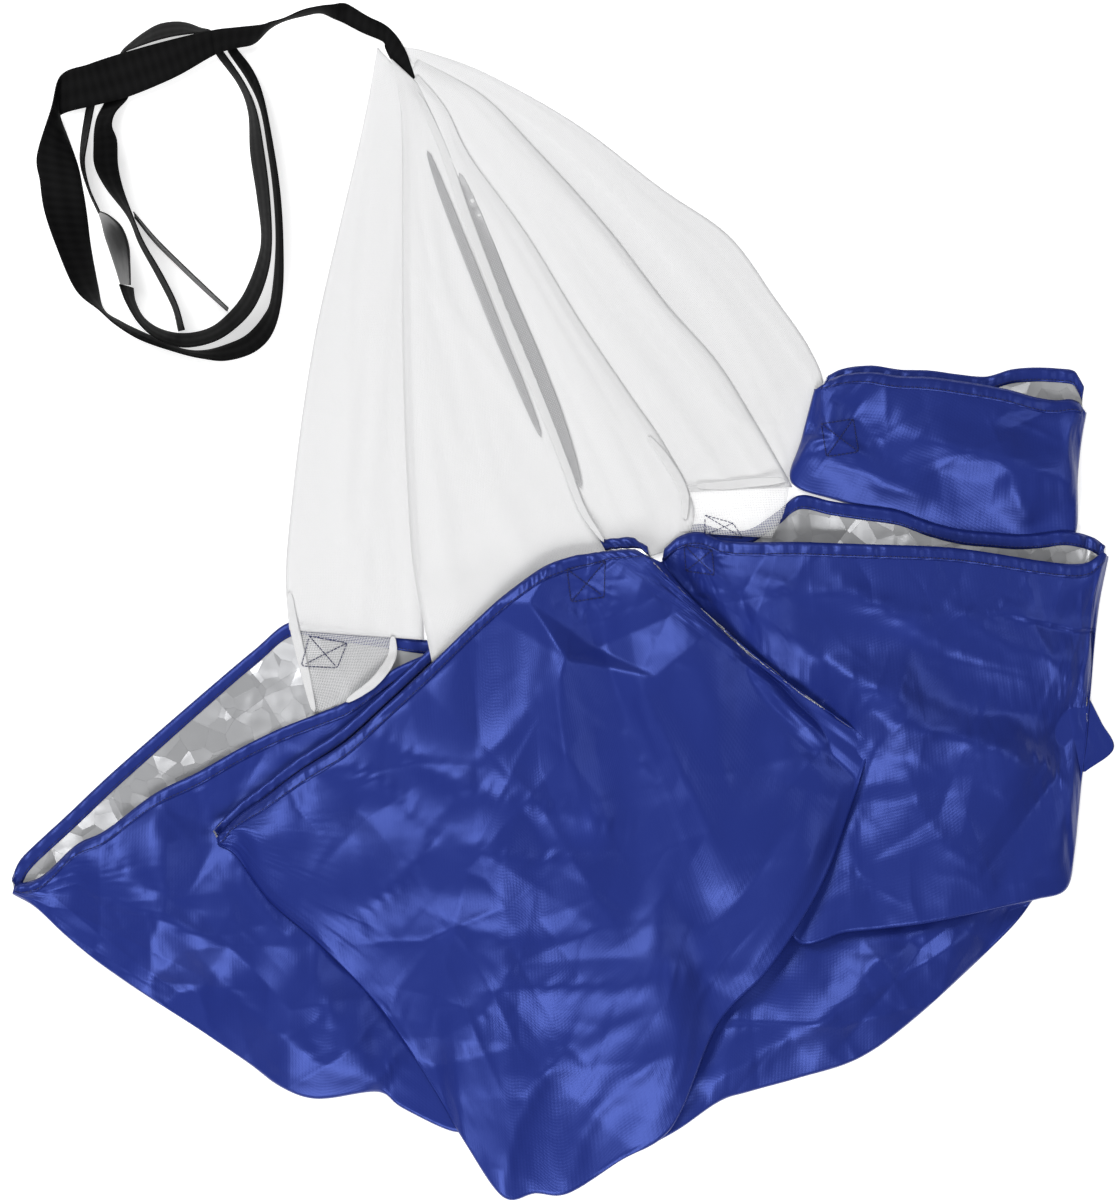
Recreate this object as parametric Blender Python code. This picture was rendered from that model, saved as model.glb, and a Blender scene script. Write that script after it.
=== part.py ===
"""Speed parachute laid out collapsed on a flat surface: folded canopy, mesh funnel, webbing belt.

The canopy is one round cloth. It lies folded into five flat pockets, each a sheet that runs from its
far hem along the floor, round a fold, and back over itself to its near hem. Mesh panels run from the
pockets' mouths to the apex, where the webbing is sewn in. The webbing goes on as the lead and as the
coiled waist belt. Everything is laid down in order on a height map, so that each piece rests on those
below it. Metres, +Z up, +Y from the canopy to the apex.
"""

import bpy
import numpy as np
from mathutils import Matrix, Vector

# Plan: the outlines were drawn over a picture of the product seen from above
PIXEL = 0.0011
PLAN_MIDDLE_PIXELS = (562.0, 599.5)
PLAN_SIZE_PIXELS = (1240.0, 1300.0)

# Canopy cloth and its hems
CLOTH = 0.002
FOLD_GAP = 0.0022
MOUTH_GAP = 0.0085
HEM_WIDTH = 0.0155
HEM_THICKNESS = 0.001
LEFT_CROWN = 0.021
FRONT_CROWN = 0.026
RIGHT_CROWN = 0.024
LOWER_CROWN = 0.012
UPPER_CROWN = 0.017
PRESSED_SHARE = 0.8
PUFF_POWER = 0.7
END_POWER = 0.5
MOUTH_POWER = 2.0
POCKET_ROWS = 6
COLUMNS_PER_RIB = 2

# Mesh funnel
MESH_THICKNESS = 0.0012
MESH_HEM_WIDTH = 0.013
MESH_HEM_THICKNESS = 0.0012
MESH_COLUMNS = 3
MESH_STEPS = 2
HEM_STEPS = 5

# Webbing
WEBBING_WIDTH = 0.048
WEBBING_THICKNESS = 0.0014
LEAD_WIDTH = 0.0205
LEAD_RISE = 0.0205
BAND_RISE = 0.02
WEBBING_STEPS = 2
BELT_BASE = 0.001

# Laying one piece on another
CLEARANCE = 0.0003
LAYER_CLEARANCE = 0.0006
HEIGHT_STEP = 0.0016
SETTLING_PASSES = 6
DRAPE_REACH = 0.03
PANEL_REACH = 0.015
STRIP_REACH = 0.008
PRESS_BLUR = 0.03
FACETS_PER_SQUARE = 1.6
SHARP_ANGLE = 1.0

# Ribs of each pocket: a point of its near hem, of its far hem and of its fold
LEFT_RIBS_PIXELS = (
    ((14, 886), (12, 879), (12, 893)),
    ((42, 877), (20, 861), (36, 907)),
    ((76, 846), (42, 839), (66, 935)),
    ((106, 831), (66, 817), (102, 964)),
    ((154, 795), (105, 780), (153, 999)),
    ((198, 773), (150, 740), (204, 1032)),
    ((242, 748), (210, 688), (248, 1062)),
    ((281, 729), (255, 650), (281, 1086)),
    ((319, 714), (290, 623), (318, 1098)),
    ((351, 700), (330, 628), (377, 1091)),
    ((392, 671), (370, 633), (402, 1107)),
    ((430, 654), (415, 640), (450, 1130)),
    ((452, 648), (442, 642), (478, 1130)),
)
FRONT_RIBS_PIXELS = (
    ((217, 837), (213, 830), (218, 843)),
    ((241, 815), (236, 807), (238, 856)),
    ((267, 797), (262, 787), (270, 899)),
    ((300, 772), (295, 761), (324, 946)),
    ((347, 742), (340, 731), (383, 1010)),
    ((390, 703), (383, 693), (428, 1078)),
    ((430, 666), (423, 656), (463, 1137)),
    ((470, 627), (463, 617), (503, 1196)),
    ((497, 602), (490, 591), (535, 1193)),
    ((520, 584), (513, 573), (568, 1193)),
    ((540, 570), (534, 558), (620, 1160)),
    ((554, 563), (550, 551), (672, 1125)),
    ((566, 559), (563, 547), (716, 1025)),
    ((577, 556), (575, 544), (770, 965)),
    ((585, 555), (583, 543), (822, 880)),
    ((592, 554), (591, 542), (852, 790)),
    ((599, 553), (599, 541), (852, 766)),
    ((607, 552), (607, 540), (820, 728)),
    ((616, 551), (617, 539), (782, 690)),
    ((624, 550), (626, 538), (746, 654)),
    ((635, 550), (640, 543), (676, 580)),
    ((641, 553), (648, 546), (660, 556)),
)
RIGHT_RIBS_PIXELS = (
    ((664, 550), (665, 543), (662, 562)),
    ((680, 537), (682, 529), (672, 600)),
    ((700, 533), (702, 525), (700, 665)),
    ((722, 541), (724, 531), (732, 720)),
    ((747, 543), (750, 530), (765, 780)),
    ((775, 543), (778, 512), (785, 850)),
    ((800, 543), (800, 496), (795, 938)),
    ((830, 544), (832, 502), (845, 931)),
    ((860, 545), (865, 507), (885, 927)),
    ((895, 546), (898, 512), (924, 922)),
    ((925, 547), (928, 523), (970, 913)),
    ((955, 549), (960, 531), (1005, 905)),
    ((985, 553), (990, 534), (1036, 898)),
    ((1010, 557), (1015, 536), (1066, 888)),
    ((1035, 561), (1040, 535), (1074, 850)),
    ((1058, 564), (1062, 532), (1080, 790)),
    ((1075, 565), (1080, 534), (1086, 740)),
    ((1088, 563), (1093, 538), (1091, 680)),
    ((1097, 557), (1101, 543), (1098, 610)),
    ((1102, 551), (1106, 547), (1108, 556)),
)
LOWER_RIBS_PIXELS = (
    ((648, 1095), (641, 1092), (640, 1150)),
    ((680, 1040), (672, 1036), (678, 1129)),
    ((720, 985), (713, 981), (719, 1101)),
    ((760, 940), (754, 934), (749, 1091)),
    ((805, 910), (801, 902), (800, 1077)),
    ((855, 895), (853, 887), (858, 1058)),
    ((905, 890), (905, 882), (908, 1023)),
    ((955, 885), (957, 877), (967, 970)),
    ((1000, 880), (1004, 873), (1014, 924)),
    ((1040, 884), (1044, 878), (1037, 893)),
)
UPPER_RIBS_PIXELS = (
    ((828, 381), (827, 377), (816, 389)),
    ((845, 375), (844, 369), (802, 442)),
    ((872, 373), (872, 366), (793, 482)),
    ((900, 377), (900, 370), (840, 500)),
    ((930, 378), (930, 371), (890, 515)),
    ((960, 382), (960, 375), (935, 528)),
    ((985, 386), (987, 377), (975, 541)),
    ((1010, 391), (1012, 370), (1010, 545)),
    ((1035, 398), (1036, 368), (1045, 543)),
    ((1056, 401), (1060, 369), (1074, 536)),
    ((1069, 400), (1074, 371), (1077, 480)),
    ((1075, 401), (1079, 377), (1081, 440)),
    ((1080, 403), (1085, 388), (1086, 412)),
)

# Main folds of the pockets' upper layers: line, height (a valley is below zero) and half width
LEFT_FOLDS_PIXELS = (
    (((242, 760), (272, 860), (330, 980), (377, 1085)), 0.011, 0.03),
    (((150, 810), (150, 880), (215, 960), (300, 1050), (370, 1084)), 0.008, 0.026),
    (((190, 800), (235, 840), (300, 790), (380, 720)), -0.012, 0.024),
    (((60, 875), (120, 930), (220, 1010)), -0.007, 0.028),
)
FRONT_FOLDS_PIXELS = (
    (((365, 725), (433, 768), (520, 800), (640, 830)), 0.008, 0.028),
    (((300, 800), (370, 850), (433, 831), (548, 859)), 0.009, 0.03),
    (((450, 1100), (480, 1020), (520, 990), (600, 990), (700, 975)), 0.012, 0.034),
    (((575, 600), (560, 680), (575, 760)), 0.007, 0.024),
    (((655, 620), (640, 700), (690, 800)), 0.006, 0.024),
    (((867, 747), (862, 790), (832, 850), (799, 925), (716, 1025)), 0.012, 0.03),
)
RIGHT_FOLDS_PIXELS = (
    (((700, 575), (760, 620), (830, 665), (905, 700)), 0.009, 0.026),
    (((850, 707), (921, 730), (997, 749), (1047, 783)), 0.014, 0.026),
    (((1087, 702), (1055, 735), (1036, 765)), -0.014, 0.026),
    (((945, 600), (1000, 640), (1080, 665)), 0.007, 0.026),
    (((870, 770), (850, 850), (885, 915)), -0.008, 0.026),
)
LOWER_FOLDS_PIXELS = ((((1000, 905), (930, 960), (820, 1020), (700, 1090)), 0.006, 0.026),)
UPPER_FOLDS_PIXELS = (
    (((890, 425), (960, 450), (1030, 468), (1075, 485)), 0.008, 0.024),
    (((800, 450), (860, 470), (930, 500)), 0.006, 0.02),
    (((1010, 475), (1020, 505), (1030, 525)), 0.005, 0.016),
)

# Mesh panels: points of the left and of the right edge, from the apex down
MESH_FAR_PIXELS = (
    ((420, 66), (418, 51)),
    ((476, 96), (487, 73)),
    ((526, 148), (576, 123)),
    ((596, 226), (662, 188)),
    ((661, 308), (729, 235)),
    ((711, 366), (775, 297)),
    ((752, 428), (810, 348)),
    ((775, 460), (824, 390)),
    ((792, 484), (806, 440)),
)
MESH_RIGHT_PIXELS = (
    ((412, 76), (424, 64)),
    ((441, 110), (482, 94)),
    ((464, 158), (534, 146)),
    ((520, 238), (605, 224)),
    ((573, 324), (668, 305)),
    ((623, 398), (718, 362)),
    ((655, 444), (758, 426)),
    ((690, 492), (793, 487)),
)
MESH_MIDDLE_PIXELS = (
    ((408, 84), (418, 74)),
    ((428, 112), (446, 108)),
    ((440, 152), (470, 156)),
    ((462, 217), (527, 234)),
    ((491, 292), (580, 320)),
    ((526, 377), (630, 394)),
    ((556, 452), (662, 440)),
    ((577, 507), (690, 492)),
    ((604, 548), (690, 525)),
)
MESH_FRONT_PIXELS = (
    ((393, 72), (411, 86)),
    ((400, 104), (431, 112)),
    ((402, 152), (446, 154)),
    ((402, 232), (468, 219)),
    ((402, 322), (497, 294)),
    ((404, 412), (532, 379)),
    ((408, 502), (562, 454)),
    ((414, 575), (582, 507)),
    ((432, 662), (612, 562)),
)
MESH_LEFT_PIXELS = (
    ((377, 46), (399, 70)),
    ((368, 98), (406, 104)),
    ((357, 150), (410, 152)),
    ((338, 230), (410, 232)),
    ((317, 322), (411, 322)),
    ((302, 412), (413, 412)),
    ((291, 502), (417, 502)),
    ((285, 575), (422, 575)),
    ((289, 630), (424, 640)),
)
MESH_LEFT_TAB_PIXELS = (
    ((296, 622), (392, 632)),
    ((303, 660), (388, 660)),
    ((309, 690), (366, 686)),
    ((314, 714), (346, 702)),
)
MESH_RIGHT_TAB_PIXELS = (
    ((694, 484), (786, 482)),
    ((700, 508), (780, 510)),
    ((708, 526), (774, 530)),
)

# The corner of the canopy that points out from under the right pocket
CORNER_PIXELS = (
    ((1062, 700), (1090, 698)),
    ((1060, 722), (1102, 722)),
    ((1060, 748), (1114.5, 749)),
    ((1060, 774), (1086, 772)),
)

# Hems of the mesh: the line that each one is centred on
MESH_FRONT_HEM_PIXELS = (
    (425, 108),
    (446, 156),
    (468, 220),
    (497, 296),
    (532, 380),
    (562, 455),
    (582, 508),
    (604, 542),
)
MESH_LEFT_HEM_PIXELS = ((291, 585), (296, 620), (305, 665), (315, 706))
MESH_TAB_HEM_PIXELS = ((393, 640), (392, 658), (376, 680), (352, 696))
MESH_MIDDLE_HEM_PIXELS = ((648, 436), (668, 462), (684, 492), (685, 520))
MESH_RIGHT_HEM_PIXELS = ((696, 486), (725, 485), (755, 482), (786, 480))

# Webbing: the high edge and the low edge of each stretch, and the low edge's height in widths
APEX_TAB_PIXELS = (
    ((382.3, 22.5), (382.3, 41)),
    ((391, 29), (385, 48)),
    ((400, 40), (390, 58)),
    ((408, 56), (397, 67)),
    ((417, 84), (409, 77)),
)
LEAD_STATIONS = (
    ((381.9, 22.5), (381.9, 41), 0.0),
    ((366, 15), (362, 32), 0.0),
    ((346, 3), (344, 23), 0.1),
    ((333, 5), (333, 18), 0.2),
    ((320, 7), (320, 13), 0.3),
    ((303, 11), (303, 16), 0.35),
    ((284.6, 19.2), (284.6, 20.8), 0.35),
)
UPPER_BAND_STATIONS = (
    ((284.1, 19.2), (284.1, 20.8), 0.35),
    ((272, 23), (270, 29), 0.35),
    ((262, 26), (254, 44), 0.35),
    ((240, 28.5), (236, 48.5), 0.4),
    ((212, 32), (215, 55), 0.42),
    ((165, 43), (176, 77), 0.4),
    ((118, 55), (131, 96), 0.35),
    ((90, 65), (100, 104), 0.28),
    ((62, 76), (60, 115), 0.2),
)
BACK_TURN_STATIONS = (
    ((124, 52.6), (121, 51), 0.0),
    ((136, 48.5), (130, 42), 0.0),
    ((148, 45), (143, 32), 0.0),
    ((158, 42), (157, 24), 0.0),
    ((172, 38.5), (172, 21), 0.0),
    ((186, 36), (186, 22), 0.0),
    ((199, 33.8), (200, 27), 0.0),
    ((210, 31.6), (210, 30), 0.0),
)
OUTER_TURN_STATIONS = (
    ((60.9, 77.5), (58.9, 115), 0.2),
    ((53, 110), (65, 131), 0.08),
    ((37, 155), (77, 164), 0.0),
    ((39, 180), (82, 187), 0.0),
    ((44, 210), (86, 212), 0.0),
    ((57, 246), (90, 246), 0.0),
    ((77, 290), (97, 285), 0.0),
    ((101, 311), (103, 309), 0.0),
    ((118, 326), (120, 321), 0.0),
    ((143, 341), (147, 334), 0.0),
    ((178, 353), (180, 348), 0.0),
    ((203, 359), (204, 350), 0.0),
    ((228, 361), (228, 343.5), 0.0),
    ((256, 352), (247, 334), 0.0),
    ((274, 332), (263, 316), 0.0),
    ((283, 295), (271, 297), 0.0),
    ((284, 246), (275.5, 246), 0.0),
    ((281, 195), (273.5, 196), 0.0),
    ((274, 147), (267.5, 149), 0.0),
    ((264, 98), (260, 108), 0.0),
    ((253, 71), (247.5, 80), 0.0),
    ((237, 49), (228.5, 51.8), 0.0),
)
INNER_TURN_STATIONS = (
    ((120.6, 285.2), (132.5, 287.2), 0.0),
    ((128, 304), (135, 302), 0.0),
    ((141, 325), (144, 318), 0.0),
    ((159, 340), (161, 329), 0.0),
    ((184, 348), (184, 333), 0.0),
    ((212, 343.5), (208, 328), 0.0),
    ((234, 331), (226, 315), 0.0),
    ((254, 310), (243, 294), 0.0),
    ((267, 280), (256, 263), 0.0),
    ((272.5, 246), (261, 236), 0.0),
    ((270.5, 197), (256.5, 195), 0.0),
    ((264.5, 150), (250, 152), 0.0),
    ((257, 111), (248, 112), 0.0),
    ((244.5, 83), (238, 84), 0.0),
    ((224.5, 53), (217, 55.3), 0.0),
)
BELT_END_STATIONS = (
    ((94, 107), (85, 109.4), 0.0),
    ((88, 143), (80, 143), 0.0),
    ((86, 165), (80, 165), 0.0),
    ((91, 189), (88, 191), 0.0),
    ((101, 212), (98, 213), 0.0),
)
HOOK_TAPE_STATIONS = (
    ((101.3, 212.7), (98.3, 213.7), 0.0),
    ((111, 217), (101, 222), 0.02),
    ((123, 228), (104, 235), 0.05),
    ((130, 246), (109, 250), 0.05),
    ((131.5, 266), (115, 268), 0.02),
    ((132, 286.2), (120, 284.2), 0.0),
)
BELT_RETURN_STATIONS = (
    ((127, 98.6), (102, 105), 0.0),
    ((116, 113), (97, 115), 0.0),
    ((113, 127), (94, 127), 0.0),
    ((118, 142), (93, 143), 0.0),
    ((119, 166), (94, 165), 0.0),
    ((124, 189), (105, 187), 0.0),
    ((133, 214), (127, 216), 0.0),
    ((145, 243), (139, 244), 0.0),
    ((163, 274), (157, 277), 0.0),
    ((178, 304), (172, 307), 0.0),
    ((186, 331), (178, 331), 0.0),
)
LOOP_TAPE_STATIONS = (
    ((134.8, 213), (134, 217), 0.0),
    ((157, 239), (154, 242), 0.0),
    ((180, 262), (177, 265), 0.0),
    ((203, 284), (200, 287), 0.0),
    ((229.6, 309.2), (226.8, 310.9), 0.0),
)

# Joints
LEAD_PIVOT_PIXELS = (382.1, 31.75)
BELT_PIVOT_PIXELS = (284.35, 20.0)

# Colours as red, green and blue
BLUE = (0.027, 0.045, 0.31)
HEM_BLUE = (0.02, 0.035, 0.24)
WHITE_NET = (0.82, 0.83, 0.84)
BLACK = (0.008, 0.008, 0.009)


def to_plan(pixels):
    """Points of the plan, in metres, from points of the picture."""
    pixels = np.asarray(pixels, float)
    x = (pixels[..., 0] - PLAN_MIDDLE_PIXELS[0]) * PIXEL
    y = (PLAN_MIDDLE_PIXELS[1] - pixels[..., 1]) * PIXEL
    return np.stack([x, y], axis=-1)


def through(points, steps):
    """A smooth curve through hand-placed points, with this many steps between neighbours."""
    points = np.asarray(points, float)
    ends = np.concatenate([2 * points[:1] - points[1:2], points, 2 * points[-1:] - points[-2:-1]])
    curve = []
    for index in range(len(points) - 1):
        before, start, end, after = ends[index : index + 4]
        for t in np.arange(steps) / steps:
            curve.append(
                start
                + 0.5 * t * (end - before)
                + t * t * (before - 2.5 * start + 2 * end - 0.5 * after)
                + t * t * t * (1.5 * (start - end) + 0.5 * (after - before))
            )
    curve.append(points[-1])
    return np.array(curve)


def distance_to_line(points, line):
    """How far each point of the plan is from a line of straight pieces."""
    nearest = np.full(points.shape[:-1], np.inf)
    for start, end in zip(line[:-1], line[1:]):
        along = end - start
        share = np.clip((points - start) @ along / (along @ along), 0, 1)
        gap = np.linalg.norm(points - (start + share[..., None] * along), axis=-1)
        nearest = np.minimum(nearest, gap)
    return nearest


def facets(grid):
    """Points all over each square of a grid, closer together than the height map's squares."""
    sides = max(
        np.linalg.norm(np.diff(grid[..., :2], axis=0), axis=-1).max(),
        np.linalg.norm(np.diff(grid[..., :2], axis=1), axis=-1).max(),
    )
    count = int(np.ceil(FACETS_PER_SQUARE * sides / HEIGHT_STEP)) + 1
    corner, along, across, far = grid[:-1, :-1], grid[1:, :-1], grid[:-1, 1:], grid[1:, 1:]
    found = []
    for a in np.linspace(0, 1, count):
        for b in np.linspace(0, 1, count):
            # Each square is split from its first corner to its third, as the meshes are
            if a >= b:
                found.append(corner + (a - b) * (along - corner) + b * (far - corner))
            else:
                found.append(corner + (b - a) * (across - corner) + a * (far - corner))
    return np.array(found)


def above(grid, distance):
    """The face that lies this far above a grid, square to it."""
    squares = np.cross(grid[1:, 1:] - grid[:-1, :-1], grid[:-1, 1:] - grid[1:, :-1])
    squares /= np.linalg.norm(squares, axis=-1)[..., None]
    squares *= np.sign(squares[..., 2])[..., None]
    squares = np.pad(squares, ((1, 1), (1, 1), (0, 0)))
    normal = squares[1:, 1:] + squares[:-1, 1:] + squares[1:, :-1] + squares[:-1, :-1]
    normal /= np.linalg.norm(normal, axis=-1)[..., None]
    return grid + distance * normal


class Pile:
    """The height of what has been laid down so far, on squares over the plan."""

    def __init__(self):
        size = np.ceil(np.array(PLAN_SIZE_PIXELS) * PIXEL / HEIGHT_STEP).astype(int)
        self.low = -0.5 * size * HEIGHT_STEP
        self.height = np.zeros(size)

    def squares(self, points):
        index = np.floor((points[..., :2] - self.low) / HEIGHT_STEP).astype(int)
        return index[..., 0], index[..., 1]

    def lay(self, grid):
        """Adds the upper face of a piece."""
        points = facets(grid)
        np.maximum.at(self.height, self.squares(points), points[..., 2])

    def grown(self, count):
        """The heights grown sideways by this many squares."""
        field = self.height
        for axis in (0, 1):
            shifted = [np.roll(field, shift, axis) for shift in range(-count, count + 1)]
            field = np.max(shifted, axis=0)
        return field

    def spread(self, reach):
        """The heights grown sideways by the reach and then smoothed over half of it."""
        count = int(round(reach / HEIGHT_STEP))
        field = self.grown(count)
        for axis in (0, 1):
            shifted = [np.roll(field, shift, axis) for shift in range(-(count // 2), count // 2 + 1)]
            field = np.mean(shifted, axis=0)
        return field

    def under(self, plan_grid, reach):
        """A grid that rests on the pile, just clear of it, or on the floor."""
        field = self.spread(reach)
        grid = np.concatenate([plan_grid, field[self.squares(plan_grid)][..., None]], axis=-1)
        for _ in range(SETTLING_PASSES):
            grid[..., 2] -= self.room_under(grid)
        return grid

    def room_under(self, grid):
        """How far each point of a grid could drop before it or its squares meet the pile."""
        points = facets(grid)
        below = self.grown(1)[self.squares(points)]
        below = np.where(below > 0, below + CLEARANCE, 0)
        room = np.min(points[..., 2] - below, axis=0)
        room = np.pad(room, 1, constant_values=np.inf)
        return np.min([room[:-1, :-1], room[1:, :-1], room[:-1, 1:], room[1:, 1:]], axis=0)


def material(name, colour, roughness):
    made = bpy.data.materials.new(name)
    made.use_nodes = True
    shader = made.node_tree.nodes["Principled BSDF"]
    shader.inputs["Base Color"].default_value = (*colour, 1)
    shader.inputs["Roughness"].default_value = roughness
    shader.inputs["Metallic"].default_value = 0
    return made


def sheet_object(name, grid, thickness, side, made_of):
    """A sheet over a grid of points, thickened above it (side 1), below it (-1) or both ways (0)."""
    rows, columns = grid.shape[:2]
    faces = []
    for i in range(rows - 1):
        for j in range(columns - 1):
            first = i * columns + j
            faces.append((first, first + columns, first + columns + 1, first + 1))
    mesh = bpy.data.meshes.new(name)
    mesh.from_pydata([tuple(point) for point in grid.reshape(-1, 3)], [], faces)
    mesh.shade_smooth()
    mesh.set_sharp_from_angle(angle=SHARP_ANGLE)
    mesh.materials.append(made_of)
    piece = bpy.data.objects.new(name, mesh)
    bpy.context.scene.collection.objects.link(piece)
    split = piece.modifiers.new("Split squares", "TRIANGULATE")
    split.quad_method = "FIXED"
    solid = piece.modifiers.new("Thickness", "SOLIDIFY")
    solid.thickness = thickness
    solid.offset = side
    solid.use_quality_normals = True
    return piece


def rib_curves(ribs_pixels):
    """The near hem, the far hem and the fold of a pocket, as curves over the plan."""
    ribs = to_plan(ribs_pixels)
    return [through(ribs[:, index], COLUMNS_PER_RIB) for index in range(3)]


def layer_plan(hem, fold):
    """A layer's grid over the plan: its hem, the inner edge of that hem, then rows to the fold."""
    length = np.linalg.norm(fold - hem, axis=-1)
    first = np.minimum(HEM_WIDTH / length, 1 / POCKET_ROWS)
    shares = first[:, None] + (1 - first[:, None]) * np.linspace(0, 1, POCKET_ROWS)
    shares = np.concatenate([np.zeros_like(first)[:, None], shares], axis=1)
    return hem[:, None] + shares[..., None] * (fold - hem)[:, None], shares


class Pocket:
    """One folded part of the canopy: its lower layer, its upper layer and their hems."""

    def __init__(self, name, ribs_pixels):
        self.name = name
        self.near, self.far, self.fold = rib_curves(ribs_pixels)
        self.pieces = []

    def lay_lower(self, pile, cloth, hem_cloth):
        plan_grid, _ = layer_plan(self.far, self.fold)
        self.lower = pile.under(plan_grid, DRAPE_REACH)
        pile.lay(above(self.lower, CLOTH))
        self.cloth = cloth
        hem = above(self.lower, CLOTH + LAYER_CLEARANCE)[1:-1, :2]
        self.pieces.append(
            sheet_object(f"{self.name}_far_hem", flipped(hem), HEM_THICKNESS, 1, hem_cloth)
        )
        pile.lay(above(hem, HEM_THICKNESS))

    def lay_upper(self, pile, crown, folds_pixels, press, hem_cloth):
        plan_grid, shares = [part[:, ::-1] for part in layer_plan(self.near, self.fold)]
        ends = np.sin(np.pi * np.linspace(0, 1, len(shares)))[:, None] ** END_POWER
        puffed = np.sin(np.pi * np.clip(shares, 0, 1)) ** PUFF_POWER
        gap = ends * (crown * puffed + MOUTH_GAP * (1 - shares) ** MOUTH_POWER)
        for line_pixels, height, half_width in folds_pixels:
            away = distance_to_line(plan_grid, to_plan(line_pixels))
            gap = gap + height * np.exp(-((away / half_width) ** 2)) * puffed * ends
        if press is not None:
            gap = gap * (1 - PRESSED_SHARE * press[pile.squares(plan_grid)])
        gap = np.maximum(gap, FOLD_GAP)
        field = pile.spread(DRAPE_REACH)
        rest = field[pile.squares(plan_grid)]
        rest[:, 0] = self.lower[:, -1, 2] + CLOTH
        height = rest + gap + CLOTH
        self.upper = np.concatenate([plan_grid, height[..., None]], axis=-1)
        for _ in range(SETTLING_PASSES):
            room = pile.room_under(above(self.upper, -CLOTH))
            self.upper[..., 2] -= np.minimum(room, 0)
        pile.lay(self.upper)
        hem = above(self.upper, LAYER_CLEARANCE)[1:-1, -2:]
        self.pieces.append(
            sheet_object(f"{self.name}_near_hem", flipped(hem), HEM_THICKNESS, 1, hem_cloth)
        )
        pile.lay(above(hem, HEM_THICKNESS))
        sheet = np.concatenate([self.lower, self.upper], axis=1)
        self.pieces.append(
            sheet_object(f"canopy_{self.name}_lobe", sheet, CLOTH, -1, self.cloth)
        )


def flipped(grid):
    """The grid with rows and columns swapped where that turns its faces up. Its squares split alike."""
    along = grid[1, 0] - grid[0, 0]
    across = grid[0, 1] - grid[0, 0]
    if along[0] * across[1] - along[1] * across[0] < 0:
        return grid.swapaxes(0, 1)
    return grid


def press_map(pile, outline):
    """1 under a piece that lies on top and 0 away from it, with a soft edge."""
    rows, columns = pile.height.shape
    x = pile.low[0] + (np.arange(rows) + 0.5) * HEIGHT_STEP
    y = pile.low[1] + (np.arange(columns) + 0.5) * HEIGHT_STEP
    x, y = np.meshgrid(x, y, indexing="ij")
    inside = np.zeros((rows, columns), bool)
    for (x1, y1), (x2, y2) in zip(outline, np.roll(outline, -1, axis=0)):
        crosses = (y1 > y) != (y2 > y)
        if y1 != y2:
            inside ^= crosses & (x < x1 + (y - y1) * (x2 - x1) / (y2 - y1))
    field = inside.astype(float)
    count = int(round(PRESS_BLUR / HEIGHT_STEP))
    for axis in (0, 1):
        field = np.mean([np.roll(field, shift, axis) for shift in range(-count, count + 1)], axis=0)
    return field


def panel(name, stations_pixels, pile, made_of, thickness):
    """A flat panel between its two edges, laid on the pile."""
    stations = to_plan(stations_pixels)
    left = through(stations[:, 0], MESH_STEPS)
    right = through(stations[:, 1], MESH_STEPS)
    shares = np.linspace(0, 1, MESH_COLUMNS + 1)[None, :, None]
    plan_grid = left[:, None] * (1 - shares) + right[:, None] * shares
    grid = flipped(pile.under(plan_grid, PANEL_REACH))
    pile.lay(above(grid, thickness))
    return sheet_object(name, grid, thickness, 1, made_of)


def mesh_hem(name, line_pixels, pile, net):
    """A narrow hem of mesh centred on a line, laid on the pile."""
    line = through(to_plan(line_pixels), HEM_STEPS)
    along = np.gradient(line, axis=0)
    across = np.stack([-along[:, 1], along[:, 0]], axis=-1)
    across /= np.linalg.norm(across, axis=-1)[:, None]
    half = 0.5 * MESH_HEM_WIDTH * across
    plan_grid = np.stack([line - half, line + half], axis=1)
    grid = flipped(pile.under(plan_grid, STRIP_REACH))
    pile.lay(above(grid, MESH_HEM_THICKNESS))
    return sheet_object(name, grid, MESH_HEM_THICKNESS, 1, net)


def webbing(name, stations, base, width, most_rise, fabric):
    """A stretch of webbing between its high and low edges: what its plan lacks in width, it rises."""
    high = through(to_plan([station[0] for station in stations]), WEBBING_STEPS)
    low = through(to_plan([station[1] for station in stations]), WEBBING_STEPS)
    lift_shares = through([[station[2]] for station in stations], WEBBING_STEPS)[:, 0]
    across = np.linalg.norm(high - low, axis=-1)
    rise = np.minimum(np.sqrt(np.maximum(width**2 - across**2, 0)), most_rise)
    foot = base + np.maximum(lift_shares, 0) * width
    low_edge = np.concatenate([low, foot[:, None]], axis=-1)
    high_edge = np.concatenate([high, (foot + rise)[:, None]], axis=-1)
    grid = np.stack([low_edge, high_edge], axis=1)
    return sheet_object(name, grid, WEBBING_THICKNESS, 0, fabric)


def pivot(name, pixels, height, pieces, parent):
    """An empty on a joint's axis, with the pieces that turn about it."""
    made = bpy.data.objects.new(name, None)
    bpy.context.scene.collection.objects.link(made)
    x, y = to_plan(pixels)
    made.location = (x, y, height)
    made.parent = parent
    if parent is not None:
        made.matrix_parent_inverse = Matrix.Translation(-Vector(parent.location))
    for piece in pieces:
        piece.parent = made
        piece.matrix_parent_inverse = Matrix.Translation(-Vector((x, y, height)))
    return made


def clear_scene():
    for old in list(bpy.data.objects):
        bpy.data.objects.remove(old)


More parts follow.
